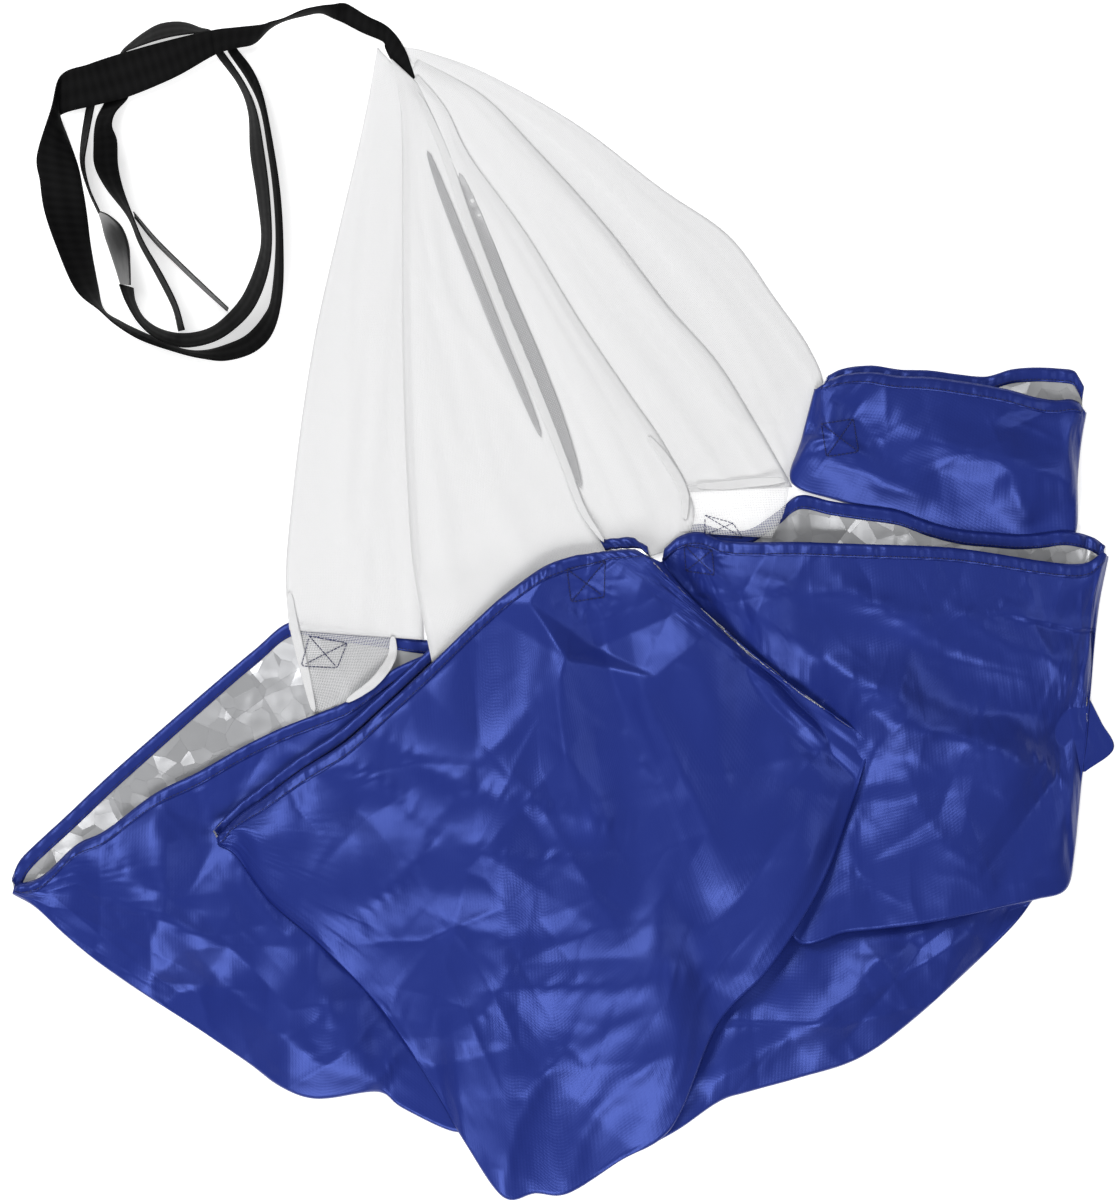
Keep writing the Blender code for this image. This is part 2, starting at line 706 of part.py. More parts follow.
def canopy_and_mesh(pile, cloth, hem_cloth, net):
    """Everything that stays with the canopy, laid down from the floor up."""
    left = Pocket("left", LEFT_RIBS_PIXELS)
    front = Pocket("front", FRONT_RIBS_PIXELS)
    right = Pocket("right", RIGHT_RIBS_PIXELS)
    lower = Pocket("lower", LOWER_RIBS_PIXELS)
    upper = Pocket("upper", UPPER_RIBS_PIXELS)
    under_front = press_map(pile, np.concatenate([front.near, front.fold[::-1]]))
    under_right = press_map(pile, np.concatenate([right.far, right.fold[::-1]]))
    lower.lay_lower(pile, cloth, hem_cloth)
    both = np.maximum(under_front, under_right)
    lower.lay_upper(pile, LOWER_CROWN, LOWER_FOLDS_PIXELS, both, hem_cloth)
    mesh = [panel("mesh_far_panel", MESH_FAR_PIXELS, pile, net, MESH_THICKNESS)]
    mesh.append(panel("mesh_right_panel", MESH_RIGHT_PIXELS, pile, net, MESH_THICKNESS))
    upper.lay_lower(pile, cloth, hem_cloth)
    upper.lay_upper(pile, UPPER_CROWN, UPPER_FOLDS_PIXELS, under_right, hem_cloth)
    corner = panel("canopy_corner", CORNER_PIXELS, pile, cloth, CLOTH)
    right.lay_lower(pile, cloth, hem_cloth)
    mesh.append(panel("mesh_right_tab", MESH_RIGHT_TAB_PIXELS, pile, net, MESH_THICKNESS))
    mesh.append(panel("mesh_middle_panel", MESH_MIDDLE_PIXELS, pile, net, MESH_THICKNESS))
    right.lay_upper(pile, RIGHT_CROWN, RIGHT_FOLDS_PIXELS, under_front, hem_cloth)
    left.lay_lower(pile, cloth, hem_cloth)
    mesh.append(panel("mesh_left_tab", MESH_LEFT_TAB_PIXELS, pile, net, MESH_THICKNESS))
    mesh.append(panel("mesh_left_panel", MESH_LEFT_PIXELS, pile, net, MESH_THICKNESS))
    left.lay_upper(pile, LEFT_CROWN, LEFT_FOLDS_PIXELS, under_front, hem_cloth)
    front.lay_lower(pile, cloth, hem_cloth)
    mesh.append(panel("mesh_front_panel", MESH_FRONT_PIXELS, pile, net, MESH_THICKNESS))
    front.lay_upper(pile, FRONT_CROWN, FRONT_FOLDS_PIXELS, None, hem_cloth)
    mesh.append(mesh_hem("mesh_front_hem", MESH_FRONT_HEM_PIXELS, pile, net))
    mesh.append(mesh_hem("mesh_left_hem", MESH_LEFT_HEM_PIXELS, pile, net))
    mesh.append(mesh_hem("mesh_tab_hem", MESH_TAB_HEM_PIXELS, pile, net))
    mesh.append(mesh_hem("mesh_middle_hem", MESH_MIDDLE_HEM_PIXELS, pile, net))
    mesh.append(mesh_hem("mesh_right_hem", MESH_RIGHT_HEM_PIXELS, pile, net))
    pieces = [*mesh, corner]
    for pocket in (left, front, right, lower, upper):
        pieces += pocket.pieces
    return pieces


def apex_tab(pile, fabric):
    """The end of the webbing, flat on the mesh at the apex. Gives the piece and its lower face's height."""
    stations = to_plan(APEX_TAB_PIXELS)
    high = through(stations[:, 0], WEBBING_STEPS)
    low = through(stations[:, 1], WEBBING_STEPS)
    plan_grid = np.stack([low, high], axis=1)
    flat = np.concatenate([plan_grid, np.zeros((*plan_grid.shape[:2], 1))], axis=-1)
    height = pile.height[pile.squares(facets(flat))].max() + LAYER_CLEARANCE
    grid = flipped(flat + np.array([0, 0, height]))
    return sheet_object("apex_tab", grid, WEBBING_THICKNESS, 1, fabric), height


def belt(base, fabric, hook_fabric, loop_fabric):
    """The coiled waist belt, as stretches of one webbing."""
    turns = (
        ("belt_upper_band", UPPER_BAND_STATIONS, BAND_RISE, fabric),
        ("belt_back_turn", BACK_TURN_STATIONS, WEBBING_WIDTH, fabric),
        ("belt_outer_turn", OUTER_TURN_STATIONS, WEBBING_WIDTH, fabric),
        ("belt_inner_turn", INNER_TURN_STATIONS, WEBBING_WIDTH, fabric),
        ("belt_end", BELT_END_STATIONS, WEBBING_WIDTH, fabric),
        ("belt_return", BELT_RETURN_STATIONS, WEBBING_WIDTH, fabric),
        ("hook_tape", HOOK_TAPE_STATIONS, WEBBING_WIDTH, hook_fabric),
        ("loop_tape", LOOP_TAPE_STATIONS, WEBBING_WIDTH, loop_fabric),
    )
    pieces = []
    for name, stations, most_rise, made_of in turns:
        pieces.append(webbing(name, stations, base, WEBBING_WIDTH, most_rise, made_of))
    return pieces


def stand_on_origin(root):
    """Moves everything so that the middle of the model's underside is at the origin."""
    bpy.context.view_layer.update()
    graph = bpy.context.evaluated_depsgraph_get()
    low = np.full(3, np.inf)
    high = np.full(3, -np.inf)
    for piece in bpy.data.objects:
        if piece.type == "MESH":
            shape = piece.evaluated_get(graph)
            corners = np.array([shape.matrix_world @ Vector(corner) for corner in shape.bound_box])
            low = np.minimum(low, corners.min(axis=0))
            high = np.maximum(high, corners.max(axis=0))
    middle = 0.5 * (low + high)
    root.location = (-middle[0], -middle[1], -low[2])
    return high - low


def main():
    clear_scene()
    cloth = material("Canopy cloth", BLUE, 0.45)
    hem_cloth = material("Hem cloth", HEM_BLUE, 0.5)
    net = material("Mesh", WHITE_NET, 0.7)
    fabric = material("Webbing", BLACK, 0.75)
    hook_fabric = material("Hook tape", BLACK, 0.25)
    loop_fabric = material("Loop tape", BLACK, 0.95)
    pile = Pile()
    canopy_pieces = canopy_and_mesh(pile, cloth, hem_cloth, net)
    tab, tab_height = apex_tab(pile, fabric)
    lead_base = tab_height + 0.5 * WEBBING_THICKNESS
    lead = webbing("lead_strap", LEAD_STATIONS, lead_base, LEAD_WIDTH, LEAD_RISE, fabric)
    belt_pieces = belt(BELT_BASE, fabric, hook_fabric, loop_fabric)
    root = bpy.data.objects.new("parachute", None)
    bpy.context.scene.collection.objects.link(root)
    for piece in [*canopy_pieces, tab]:
        piece.parent = root
    lead_axis_height = tab_height + WEBBING_THICKNESS
    lead_pivot = pivot("lead_pivot", LEAD_PIVOT_PIXELS, lead_axis_height, [lead], root)
    belt_pivot = pivot("belt_pivot", BELT_PIVOT_PIXELS, lead_axis_height, belt_pieces, lead_pivot)
    size = stand_on_origin(root)
    bpy.context.view_layer.update()
    print("size", [round(float(side), 4) for side in size])
    print("lead pivot", [round(value, 5) for value in lead_pivot.matrix_world.translation])
    print("belt pivot", [round(value, 5) for value in belt_pivot.matrix_world.translation])


main()
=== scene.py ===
"""Looks of the speed parachute: folded canopy, mesh funnel, webbing, camera, light and floor.

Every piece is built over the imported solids: its outline comes from named points of the picture, its
height from the solid that it replaces, and its folds, hems and stitches are modelled on top of that.
"""

import bpy
import numpy as np
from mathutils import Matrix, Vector
from mathutils.bvhtree import BVHTree
from mathutils.geometry import delaunay_2d_cdt

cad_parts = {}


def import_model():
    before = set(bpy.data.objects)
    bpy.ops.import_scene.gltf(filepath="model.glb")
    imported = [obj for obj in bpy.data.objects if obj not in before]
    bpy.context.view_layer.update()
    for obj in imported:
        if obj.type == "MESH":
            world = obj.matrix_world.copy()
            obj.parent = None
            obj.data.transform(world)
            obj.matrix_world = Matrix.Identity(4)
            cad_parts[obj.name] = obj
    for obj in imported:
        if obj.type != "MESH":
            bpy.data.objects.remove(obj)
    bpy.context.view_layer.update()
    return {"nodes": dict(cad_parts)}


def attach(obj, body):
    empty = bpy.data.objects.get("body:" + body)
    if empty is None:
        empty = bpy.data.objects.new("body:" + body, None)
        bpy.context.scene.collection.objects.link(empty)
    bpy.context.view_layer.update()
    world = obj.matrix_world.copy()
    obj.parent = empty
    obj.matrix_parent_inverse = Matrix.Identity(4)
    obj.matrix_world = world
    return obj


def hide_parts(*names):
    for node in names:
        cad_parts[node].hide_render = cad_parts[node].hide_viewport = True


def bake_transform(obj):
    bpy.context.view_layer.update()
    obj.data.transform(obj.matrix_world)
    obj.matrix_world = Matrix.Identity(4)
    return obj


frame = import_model()

# Plan: picture points to metres
PIXEL = 0.0011
PLAN_MIDDLE_PIXELS = (562.0, 599.5)
PLAN_SHIFT = (-0.00137, 0.001185)
PICTURE_PIXELS = (1119, 1200)
CAMERA_LENS = 250.0
CAMERA_SENSOR = 36.0

# Canopy cloth
CLOTH = 0.0005
CLOTH_SQUARE = 0.0036
COARSE_ROWS = 9
SOLID_COLUMNS = 2
FAR_HEM_POWER = 4
FINE_STEPS = 4
FOLD_BULGE = 0.0015
FOLD_STEPS = 4
LAYER_GAP = 0.0006
FOLD_GAP = 0.0032
RAY_HEIGHT = 0.5
RAY_START = 0.0008
NUDGE_SHARE = 0.012

# How a layer settles: it grows a little and buckles between its held edges
CLOTH_QUALITY = 5
CLOTH_MASS = 0.1
CLOTH_TENSION = 15
CLOTH_SHEAR = 8
CLOTH_BENDING = 15
CLOTH_GROWTH = 0.015
CLOTH_FRAMES = 22
SETTLE_NOISE = 0.0006
MOST_SLIDE = 0.002
MOST_RISE = 0.007
CALM_HEM_SHARE = 0.35

# Random creases of the cloth: how many a square metre, their lengths, heights and half widths
BROAD_CREASES = (34, (0.12, 0.45), (0.002, 0.0055), (0.008, 0.02))
THIN_CREASES = (300, (0.03, 0.2), (0.0003, 0.0014), (0.002, 0.006))

# Flat facets between the creases: how many corners a square metre, and how far those stand out
LARGE_FACETS = (70, 0.0055)
SMALL_FACETS = (420, 0.0006)
LOWER_FACETS = (1200, 0.0014)
FACET_MARGIN = 0.15
FACET_PIXEL = 0.0015
MOST_FACET = 1.8
NEAREST_CORNERS = 0.0001
SMALLEST_FACET = 1

# How a crease bends and fades out
CREASE_BEND = 0.12
CREASE_SPAN = 7
CREASE_FLANK = 0.5
CREASE_END_POWER = 0.5

# How much of its creases a lower layer shows, and cloth that lies under other cloth
LOWER_CREASE_SHARE = 0.6
MOST_LOWER_CREASE = 0.0032
END_POWER = 0.4
COVERED_CREASE_SHARE = 0.15
COVERED_FADE = 0.035

# Hems of the canopy
HEM_WIDTH = 0.0145
HEM_COLUMNS = 7
HEM_CLOTH = 0.0005
HEM_LIFT = 0.0002
HEM_CROWN = 0.0007
HEM_PUCKER = 0.0005
HEM_OVERHANG = 0.0009
CROWN_POWER = 0.6
PUCKER_LENGTHS = (0.011, 0.026)
WAVES = 5
SHORT_RIB_SHARE = 0.6

# Puckers round the sewn boxes
BOX_PUCKERS = 22
PUCKER_REACH = (0.022, 0.05)
PUCKER_HEIGHTS = (0.0006, 0.0016)
PUCKER_HALF_WIDTH = 0.0022

# Thread
STITCH_PITCH = 0.0044
STITCH_SHARE = 0.76
STITCH_WIDTH = 0.0009
STITCH_LIFT = 0.0006
BOX_STEPS = 14
BOX_CORNERS = 8
BOX_FACES = np.array([(0, 1, 2, 3), (7, 6, 5, 4), (0, 4, 5, 1), (1, 5, 6, 2), (2, 6, 7, 3), (3, 7, 4, 0)])

# Mesh funnel
NET_THICKNESS = 0.0003
NET_COARSE_STEPS = 2
NET_COARSE_COLUMNS = 4
NET_STEPS = 6
NET_COLUMN_STEPS = 8
NET_FOLDS = 7
NET_FOLD_HEIGHTS = (0.0004, 0.0012)
NET_FOLD_HALF_WIDTHS = (0.002, 0.008)
MOST_NET_WAVE = 0.003
NET_STRIP_LIFT = 0.0034
STRIP_TAPER = 0.35
HEM_TAPER = 0.3
NET_HEM_WIDTH = 0.0105
NET_HEM_STEPS = 14
NET_HEM_THICKNESS = 0.0006
NET_PUCKER = 0.0004
STRIP_BLUR = 2

# Webbing
WEBBING_WIDTH = 0.048
WEBBING_THICKNESS = 0.0014
LEAD_WIDTH = 0.0205
LEAD_RISE = 0.0205
BAND_RISE = 0.02
STRAP_STEPS = 10
STRAP_COLUMNS = 9
STRAP_EDGE = 0.0004
STRAP_EDGE_STEPS = 2
STRAP_BOW = 0.0006
TUCK_SHARES = (0.2, 0.24, 0.62, 0.9)

# Joints and where the strap's three stretches meet
LEAD_CUT_STATION = 2
BAND_CUT_STATION = 3

# Satin cloth and its coating
# Pairs of blues for the cloth and for its hems: the cloth's own blue, and a lighter blue painted on the
# ridges of the crinkles as painted highlight
BLUES = ((0.0135, 0.025, 0.175), (0.023, 0.041, 0.26))
HEM_BLUES = ((0.012, 0.022, 0.155), (0.02, 0.036, 0.23))
THREAD_BLUE = (0.008, 0.012, 0.085)
SATIN_ROUGHNESS = 0.36
SATIN_SHINE = 0.9
SATIN_TINT = (0.22, 0.32, 1.0)
ROUGHNESS_SPREAD = 0.12
CLOTH_PITCH = 0.0006
WEAVE_HEIGHT = 0.00003
LARGE_CRINKLES = 14.0
SMALL_CRINKLES = 42.0
CRINKLE_ROUGHNESS = 0.45
CRINKLE_RANGE = (0.2, 1.4)
CRINKLE_DETAILS = (2, 3)
SILVER_DETAILS = (3, 3)
LARGE_CRINKLE_HEIGHT = 0.0007
SMALL_CRINKLE_HEIGHT = 0.00018
# The coating's two greys: darker in the hollows of the crinkles as painted shade, paler on their ridges as
# painted highlight
SILVERS = ((0.46, 0.465, 0.48), (0.8, 0.81, 0.83))
SILVER_METAL = 0.6
SILVER_ROUGHNESS = 0.36
FOIL_CELLS = (16.0, 44.0)
FOIL_TILTS = (0.26, 0.2)
SILVER_CRINKLE = 4.0
MIDDLE_GREY = (0.5, 0.5, 0.5)

# Net's look
NET_PITCH = 0.0018
NET_RANDOMNESS = 0.25
NET_THREAD = 0.0003
NET_COVER = (0.36, 0.46)
HEM_COVER = (0.42, 0.52)
THIN_COVER = (0.12, 0.2)
SHEER_COVER = (0.14, 0.22)
# Grey of the net strips beside the front hem: painted shade, not the net's own colour
NET_SHADE_GREY = (0.54, 0.54, 0.55)
NET_WHITE = (0.88, 0.88, 0.884)
NET_ROUGHNESS = 0.6
NET_GLOW = 0.35

# Webbing's look, and that of the tapes and the thread
# Two blacks of the webbing: the darker in the grooves as painted shade, the lighter on the rib crests as
# painted highlight, varied by a fine random grain
BLACKS = ((0.002, 0.002, 0.0022), (0.0055, 0.0055, 0.0058))
WEBBING_SHINE = 0.08
HOOK_BLACK = (0.005, 0.005, 0.0055)
LOOP_BLACK = (0.004, 0.004, 0.0045)
RIB_PITCH = 0.0016
RIB_DISTORTION = 0.4
YARN_PITCH = 0.0032
RIB_HEIGHT = 0.0003
GRAIN_SCALE = 900.0
WEBBING_DETAIL = 2
PLAIN_DETAIL = 3
WEBBING_ROUGHNESS = 0.72
HOOK_ROUGHNESS = 0.36
LOOP_ROUGHNESS = 0.95
HOOK_GRAIN_SCALE = 60.0
HOOK_GRAIN = 0.0004
LOOP_GRAIN = 0.0008
LOOP_SHEEN = 0.4
THREAD_ROUGHNESS = 0.6
THREAD_GRAIN = 0.0001
WAVE_SCALE = 0.05

# Floor, light and camera
FLOOR_HALF = 9.0
FLOOR_HEIGHT = -0.0004
FLOOR_COLOUR = (0.8, 0.8, 0.8)
FLOOR_LIGHT = (1.0, 1.0, 1.0)
FLOOR_GLOW = 0.6
WORLD_LIGHT = 0.2
WORLD_COLOUR = (1.0, 1.0, 1.0)
CAMERA_FOCUS_HEIGHT = 0.015
CAMERA_REACH = 10

# Lamps: compass direction, height above the floor in degrees, distance, size and power
LAMPS = (
    ("Key light", -40.0, 52.0, 3.4, 1.6, 75.0),
    ("Fill light", 75.0, 45.0, 3.4, 1.4, 16.0),
    ("Low light", 190.0, 42.0, 3.4, 1.6, 70.0),
)

# Ribs of each pocket: a point of its near hem, of its far hem and of its fold
LEFT_RIBS_PIXELS = (
    ((14, 886), (11, 881), (12, 893)),
    ((42, 877), (20, 861), (36, 907)),
    ((76, 846), (42, 839), (66, 935)),
    ((106, 831), (66, 817), (102, 964)),
    ((154, 795), (105, 780), (153, 999)),
    ((198, 773), (150, 740), (204, 1032)),
    ((242, 748), (210, 688), (248, 1062)),
    ((281, 729), (255, 650), (281, 1086)),
    ((319, 714), (290, 623), (318, 1098)),
    ((351, 700), (330, 628), (377, 1091)),
    ((392, 671), (370, 633), (402, 1107)),
    ((430, 654), (415, 640), (450, 1130)),
    ((452, 648), (442, 642), (478, 1130)),
)
FRONT_RIBS_PIXELS = (
    ((217, 837), (213, 831), (218, 843)),
    ((241, 815), (236, 807), (238, 856)),
    ((267, 797), (262, 787), (270, 899)),
    ((300, 772), (295, 761), (324, 946)),
    ((347, 742), (340, 731), (383, 1010)),
    ((390, 703), (383, 693), (428, 1078)),
    ((430, 666), (423, 656), (463, 1137)),
    ((470, 627), (463, 617), (503, 1196)),
    ((497, 602), (490, 591), (535, 1193)),
    ((520, 584), (513, 573), (568, 1193)),
    ((540, 570), (534, 558), (620, 1160)),
    ((554, 563), (550, 551), (672, 1125)),
    ((566, 559), (563, 547), (716, 1025)),
    ((577, 556), (575, 544), (770, 965)),
    ((585, 555), (583, 543), (822, 880)),
    ((592, 554), (591, 542), (850, 806)),
    ((596, 553), (596, 541), (862, 768)),
    ((599, 553), (599, 541), (867, 750)),
    ((603, 552), (603, 540), (861, 736)),
    ((607, 552), (607, 540), (841, 721)),
    ((612, 551), (612, 539), (818, 705)),
    ((617, 551), (618, 539), (795, 689)),
    ((622, 550), (624, 538), (770, 669)),
    ((627, 550), (630, 538), (747, 650)),
    ((631, 550), (635, 539), (726, 632)),
    ((635, 550), (640, 543), (703, 611)),
    ((638, 551), (644, 544), (681, 588)),
    ((641, 553), (648, 546), (661, 562)),
)
RIGHT_RIBS_PIXELS = (
    ((664, 550), (665, 543), (662, 562)),
    ((680, 537), (682, 529), (672, 600)),
    ((700, 533), (702, 525), (700, 665)),
    ((722, 541), (724, 531), (732, 720)),
    ((747, 543), (750, 530), (765, 780)),
    ((775, 543), (778, 512), (785, 850)),
    ((800, 543), (800, 496), (795, 938)),
    ((830, 544), (832, 502), (845, 931)),
    ((860, 545), (865, 507), (885, 927)),
    ((895, 546), (898, 512), (924, 922)),
    ((925, 547), (928, 523), (970, 913)),
    ((955, 549), (960, 531), (1005, 905)),
    ((985, 553), (990, 534), (1036, 898)),
    ((1010, 557), (1015, 536), (1066, 888)),
    ((1035, 561), (1040, 535), (1074, 850)),
    ((1058, 564), (1062, 532), (1080, 790)),
    ((1075, 565), (1080, 534), (1086, 740)),
    ((1088, 563), (1093, 538), (1091, 680)),
    ((1097, 557), (1101, 543), (1098, 610)),
    ((1102, 551), (1106, 547), (1108, 556)),
)
LOWER_RIBS_PIXELS = (
    ((648, 1095), (641, 1092), (640, 1150)),
    ((680, 1040), (672, 1036), (678, 1129)),
    ((720, 985), (713, 981), (719, 1101)),
    ((760, 940), (754, 934), (749, 1091)),
    ((805, 910), (801, 902), (800, 1077)),
    ((855, 895), (853, 887), (858, 1058)),
    ((905, 890), (905, 882), (908, 1023)),
    ((955, 885), (957, 877), (967, 970)),
    ((1000, 880), (1004, 873), (1014, 924)),
    ((1040, 884), (1044, 878), (1037, 893)),
)
UPPER_RIBS_PIXELS = (
    ((828, 381), (827, 377), (816, 389)),
    ((845, 375), (844, 369), (802, 442)),
    ((872, 373), (872, 366), (793, 482)),
    ((900, 377), (900, 370), (840, 500)),
    ((930, 378), (930, 371), (890, 515)),
    ((960, 382), (960, 375), (935, 528)),
    ((985, 386), (987, 377), (975, 541)),
    ((1010, 391), (1012, 370), (1010, 545)),
    ((1035, 398), (1036, 368), (1045, 543)),
    ((1056, 401), (1060, 369), (1074, 536)),
    ((1069, 400), (1074, 371), (1077, 480)),
    ((1075, 401), (1079, 377), (1081, 440)),
    ((1080, 403), (1085, 388), (1086, 412)),
)

# Mesh panels: points of the left and of the right edge, from the apex down
MESH_FAR_PIXELS = (
    ((411, 62), (403, 46)),
    ((422, 68), (428, 51)),
    ((476, 96), (487, 73)),
    ((526, 148), (576, 123)),
    ((596, 226), (662, 188)),
    ((661, 308), (729, 235)),
    ((711, 366), (775, 297)),
    ((752, 428), (810, 348)),
    ((775, 460), (824, 390)),
    ((792, 484), (806, 440)),
)
MESH_RIGHT_PIXELS = (
    ((409, 72), (418, 58)),
    ((441, 110), (482, 94)),
    ((464, 158), (534, 146)),
    ((520, 238), (605, 224)),
    ((573, 324), (668, 305)),
    ((623, 398), (718, 362)),
    ((655, 444), (758, 426)),
    ((690, 492), (793, 487)),
)
MESH_MIDDLE_PIXELS = (
    ((408, 84), (418, 74)),
    ((428, 112), (446, 108)),
    ((440, 152), (470, 156)),
    ((462, 217), (527, 234)),
    ((491, 292), (580, 320)),
    ((526, 377), (630, 394)),
    ((556, 452), (662, 440)),
    ((577, 507), (690, 492)),
    ((604, 548), (692, 527)),
    ((634, 562), (664, 552)),
)
MESH_FRONT_PIXELS = (
    ((391, 58), (417, 82)),
    ((400, 104), (431, 112)),
    ((402, 152), (446, 154)),
    ((402, 232), (468, 219)),
    ((402, 322), (497, 294)),
    ((404, 412), (532, 379)),
    ((408, 502), (562, 454)),
    ((414, 575), (582, 507)),
    ((432, 662), (612, 562)),
)
MESH_LEFT_PIXELS = (
    ((377, 46), (399, 70)),
    ((368, 98), (406, 104)),
    ((357, 150), (410, 152)),
    ((338, 230), (410, 232)),
    ((317, 322), (411, 322)),
    ((302, 412), (413, 412)),
    ((291, 502), (417, 502)),
    ((285, 575), (422, 575)),
    ((289, 630), (424, 640)),
)
MESH_LEFT_TAB_PIXELS = (
    ((296, 622), (392, 632)),
    ((303, 660), (388, 660)),
    ((309, 690), (366, 686)),
    ((314, 714), (346, 702)),
)
MESH_RIGHT_TAB_PIXELS = (
    ((684, 484), (790, 482)),
    ((682, 508), (784, 512)),
    ((678, 532), (772, 538)),
)

# The corner of the canopy that points out from under the right pocket
CORNER_SEED = 71
CORNER_PIXELS = (
    ((1062, 700), (1090, 698)),
    ((1060, 722), (1102, 722)),
    ((1060, 748), (1114.5, 749)),
    ((1060, 774), (1086, 772)),
)

# Hems of the mesh: the line that each one is centred on
MESH_FRONT_HEM_PIXELS = (
    (411, 86),
    (425, 108),
    (446, 156),
    (468, 220),
    (497, 296),
    (532, 380),
    (562, 455),
    (582, 508),
    (604, 542),
)
MESH_LEFT_HEM_PIXELS = ((289, 592), (293, 622), (303, 665), (314, 712))
MESH_TAB_HEM_PIXELS = ((393, 636), (391, 658), (374, 682), (346, 702))
MESH_MIDDLE_HEM_PIXELS = ((648, 436), (668, 462), (684, 492), (685, 520))
MESH_RIGHT_HEM_PIXELS = ((696, 486), (725, 485), (755, 482), (786, 480))

# Webbing: the high edge and the low edge of each stretch, and the low edge's height in widths
APEX_TAB_PIXELS = (
    ((382.3, 22.5), (382.3, 41)),
    ((391, 29), (385, 48)),
    ((400, 40), (390, 58)),
    ((408, 56), (397, 67)),
    ((417, 84), (409, 77)),
)
LEAD_STATIONS = (
    ((381.9, 22.5), (381.9, 41), 0.0),
    ((366, 15), (362, 32), 0.0),
    ((346, 3), (344, 23), 0.1),
    ((333, 5), (333, 18), 0.2),
    ((320, 7), (320, 13), 0.3),
    ((303, 11), (303, 16), 0.35),
    ((284.6, 19.2), (284.6, 20.8), 0.35),
)
UPPER_BAND_STATIONS = (
    ((284.1, 19.2), (284.1, 20.8), 0.35),
    ((272, 23), (270, 29), 0.35),
    ((262, 26), (254, 44), 0.35),
    ((240, 28.5), (236, 48.5), 0.4),
    ((212, 32), (215, 55), 0.42),
    ((165, 43), (176, 77), 0.4),
    ((118, 55), (131, 96), 0.35),
    ((90, 65), (100, 104), 0.28),
    ((62, 76), (60, 115), 0.2),
)
BACK_TURN_STATIONS = (
    ((121, 63), (117, 62), 0.0),
    ((124, 52.6), (121, 51), 0.0),
    ((136, 48.5), (130, 42), 0.0),
    ((148, 45), (143, 32), 0.0),
    ((158, 42), (157, 24), 0.0),
    ((172, 38.5), (172, 21), 0.0),
    ((186, 36), (186, 22), 0.0),
    ((199, 33.8), (200, 27), 0.0),
    ((210, 31.6), (210, 30), 0.0),
    ((216, 41), (213, 40), 0.0),
)
OUTER_TURN_STATIONS = (
    ((60.9, 77.5), (58.9, 115), 0.2),
    ((53, 110), (65, 131), 0.08),
    ((37, 155), (77, 164), 0.0),
    ((39, 180), (82, 187), 0.0),
    ((44, 210), (86, 212), 0.0),
    ((57, 246), (90, 246), 0.0),
    ((77, 290), (97, 285), 0.0),
    ((101, 311), (103, 309), 0.0),
    ((118, 326), (120, 321), 0.0),
    ((143, 341), (147, 334), 0.0),
    ((178, 353), (180, 348), 0.0),
    ((203, 359), (204, 350), 0.0),
    ((228, 361), (228, 343.5), 0.0),
    ((256, 352), (247, 334), 0.0),
    ((274, 332), (263, 316), 0.0),
    ((283, 295), (271, 297), 0.0),
    ((284, 246), (275.5, 246), 0.0),
    ((281, 195), (273.5, 196), 0.0),
    ((274, 147), (267.5, 149), 0.0),
    ((264, 98), (260, 108), 0.0),
    ((253, 71), (247.5, 80), 0.0),
    ((237, 49), (228.5, 51.8), 0.0),
    ((231, 40), (224, 42), 0.0),
)
INNER_TURN_STATIONS = (
    ((120.6, 285.2), (132.5, 287.2), 0.0),
    ((128, 304), (135, 302), 0.0),
    ((141, 325), (144, 318), 0.0),
    ((159, 340), (161, 329), 0.0),
    ((184, 348), (184, 333), 0.0),
    ((212, 343.5), (208, 328), 0.0),
    ((234, 331), (226, 315), 0.0),
    ((254, 310), (243, 294), 0.0),
    ((267, 280), (256, 263), 0.0),
    ((272.5, 246), (261, 236), 0.0),
    ((270.5, 197), (256.5, 195), 0.0),
    ((264.5, 150), (250, 152), 0.0),
    ((257, 111), (248, 112), 0.0),
    ((244.5, 83), (238, 84), 0.0),
    ((224.5, 53), (217, 55.3), 0.0),
    ((218, 43), (212, 44), 0.0),
)
BELT_END_STATIONS = (
    ((97, 97), (89, 99), 0.0),
    ((94, 107), (85, 109.4), 0.0),
    ((88, 143), (80, 143), 0.0),
    ((86, 165), (80, 165), 0.0),
    ((91, 189), (88, 191), 0.0),
    ((101, 212), (98, 213), 0.0),
)
HOOK_TAPE_STATIONS = (
    ((101.3, 212.7), (98.3, 213.7), 0.0),
    ((111, 217), (101, 222), 0.02),
    ((123, 228), (104, 235), 0.05),
    ((130, 246), (109, 250), 0.05),
    ((131.5, 266), (115, 268), 0.02),
    ((132, 286.2), (120, 284.2), 0.0),
)
BELT_RETURN_STATIONS = (
    ((131, 88), (107, 94), 0.0),
    ((127, 98.6), (102, 105), 0.0),
    ((116, 113), (97, 115), 0.0),
    ((113, 127), (94, 127), 0.0),
    ((118, 142), (93, 143), 0.0),
    ((119, 166), (94, 165), 0.0),
    ((124, 189), (105, 187), 0.0),
    ((133, 214), (127, 216), 0.0),
    ((145, 243), (139, 244), 0.0),
    ((163, 274), (157, 277), 0.0),
    ((178, 304), (172, 307), 0.0),
    ((186, 331), (178, 331), 0.0),
)
LOOP_TAPE_STATIONS = (
    ((134.8, 213), (134, 217), 0.0),
    ((157, 239), (154, 242), 0.0),
    ((180, 262), (177, 265), 0.0),
    ((203, 284), (200, 287), 0.0),
    ((229.6, 309.2), (226.8, 310.9), 0.0),
)

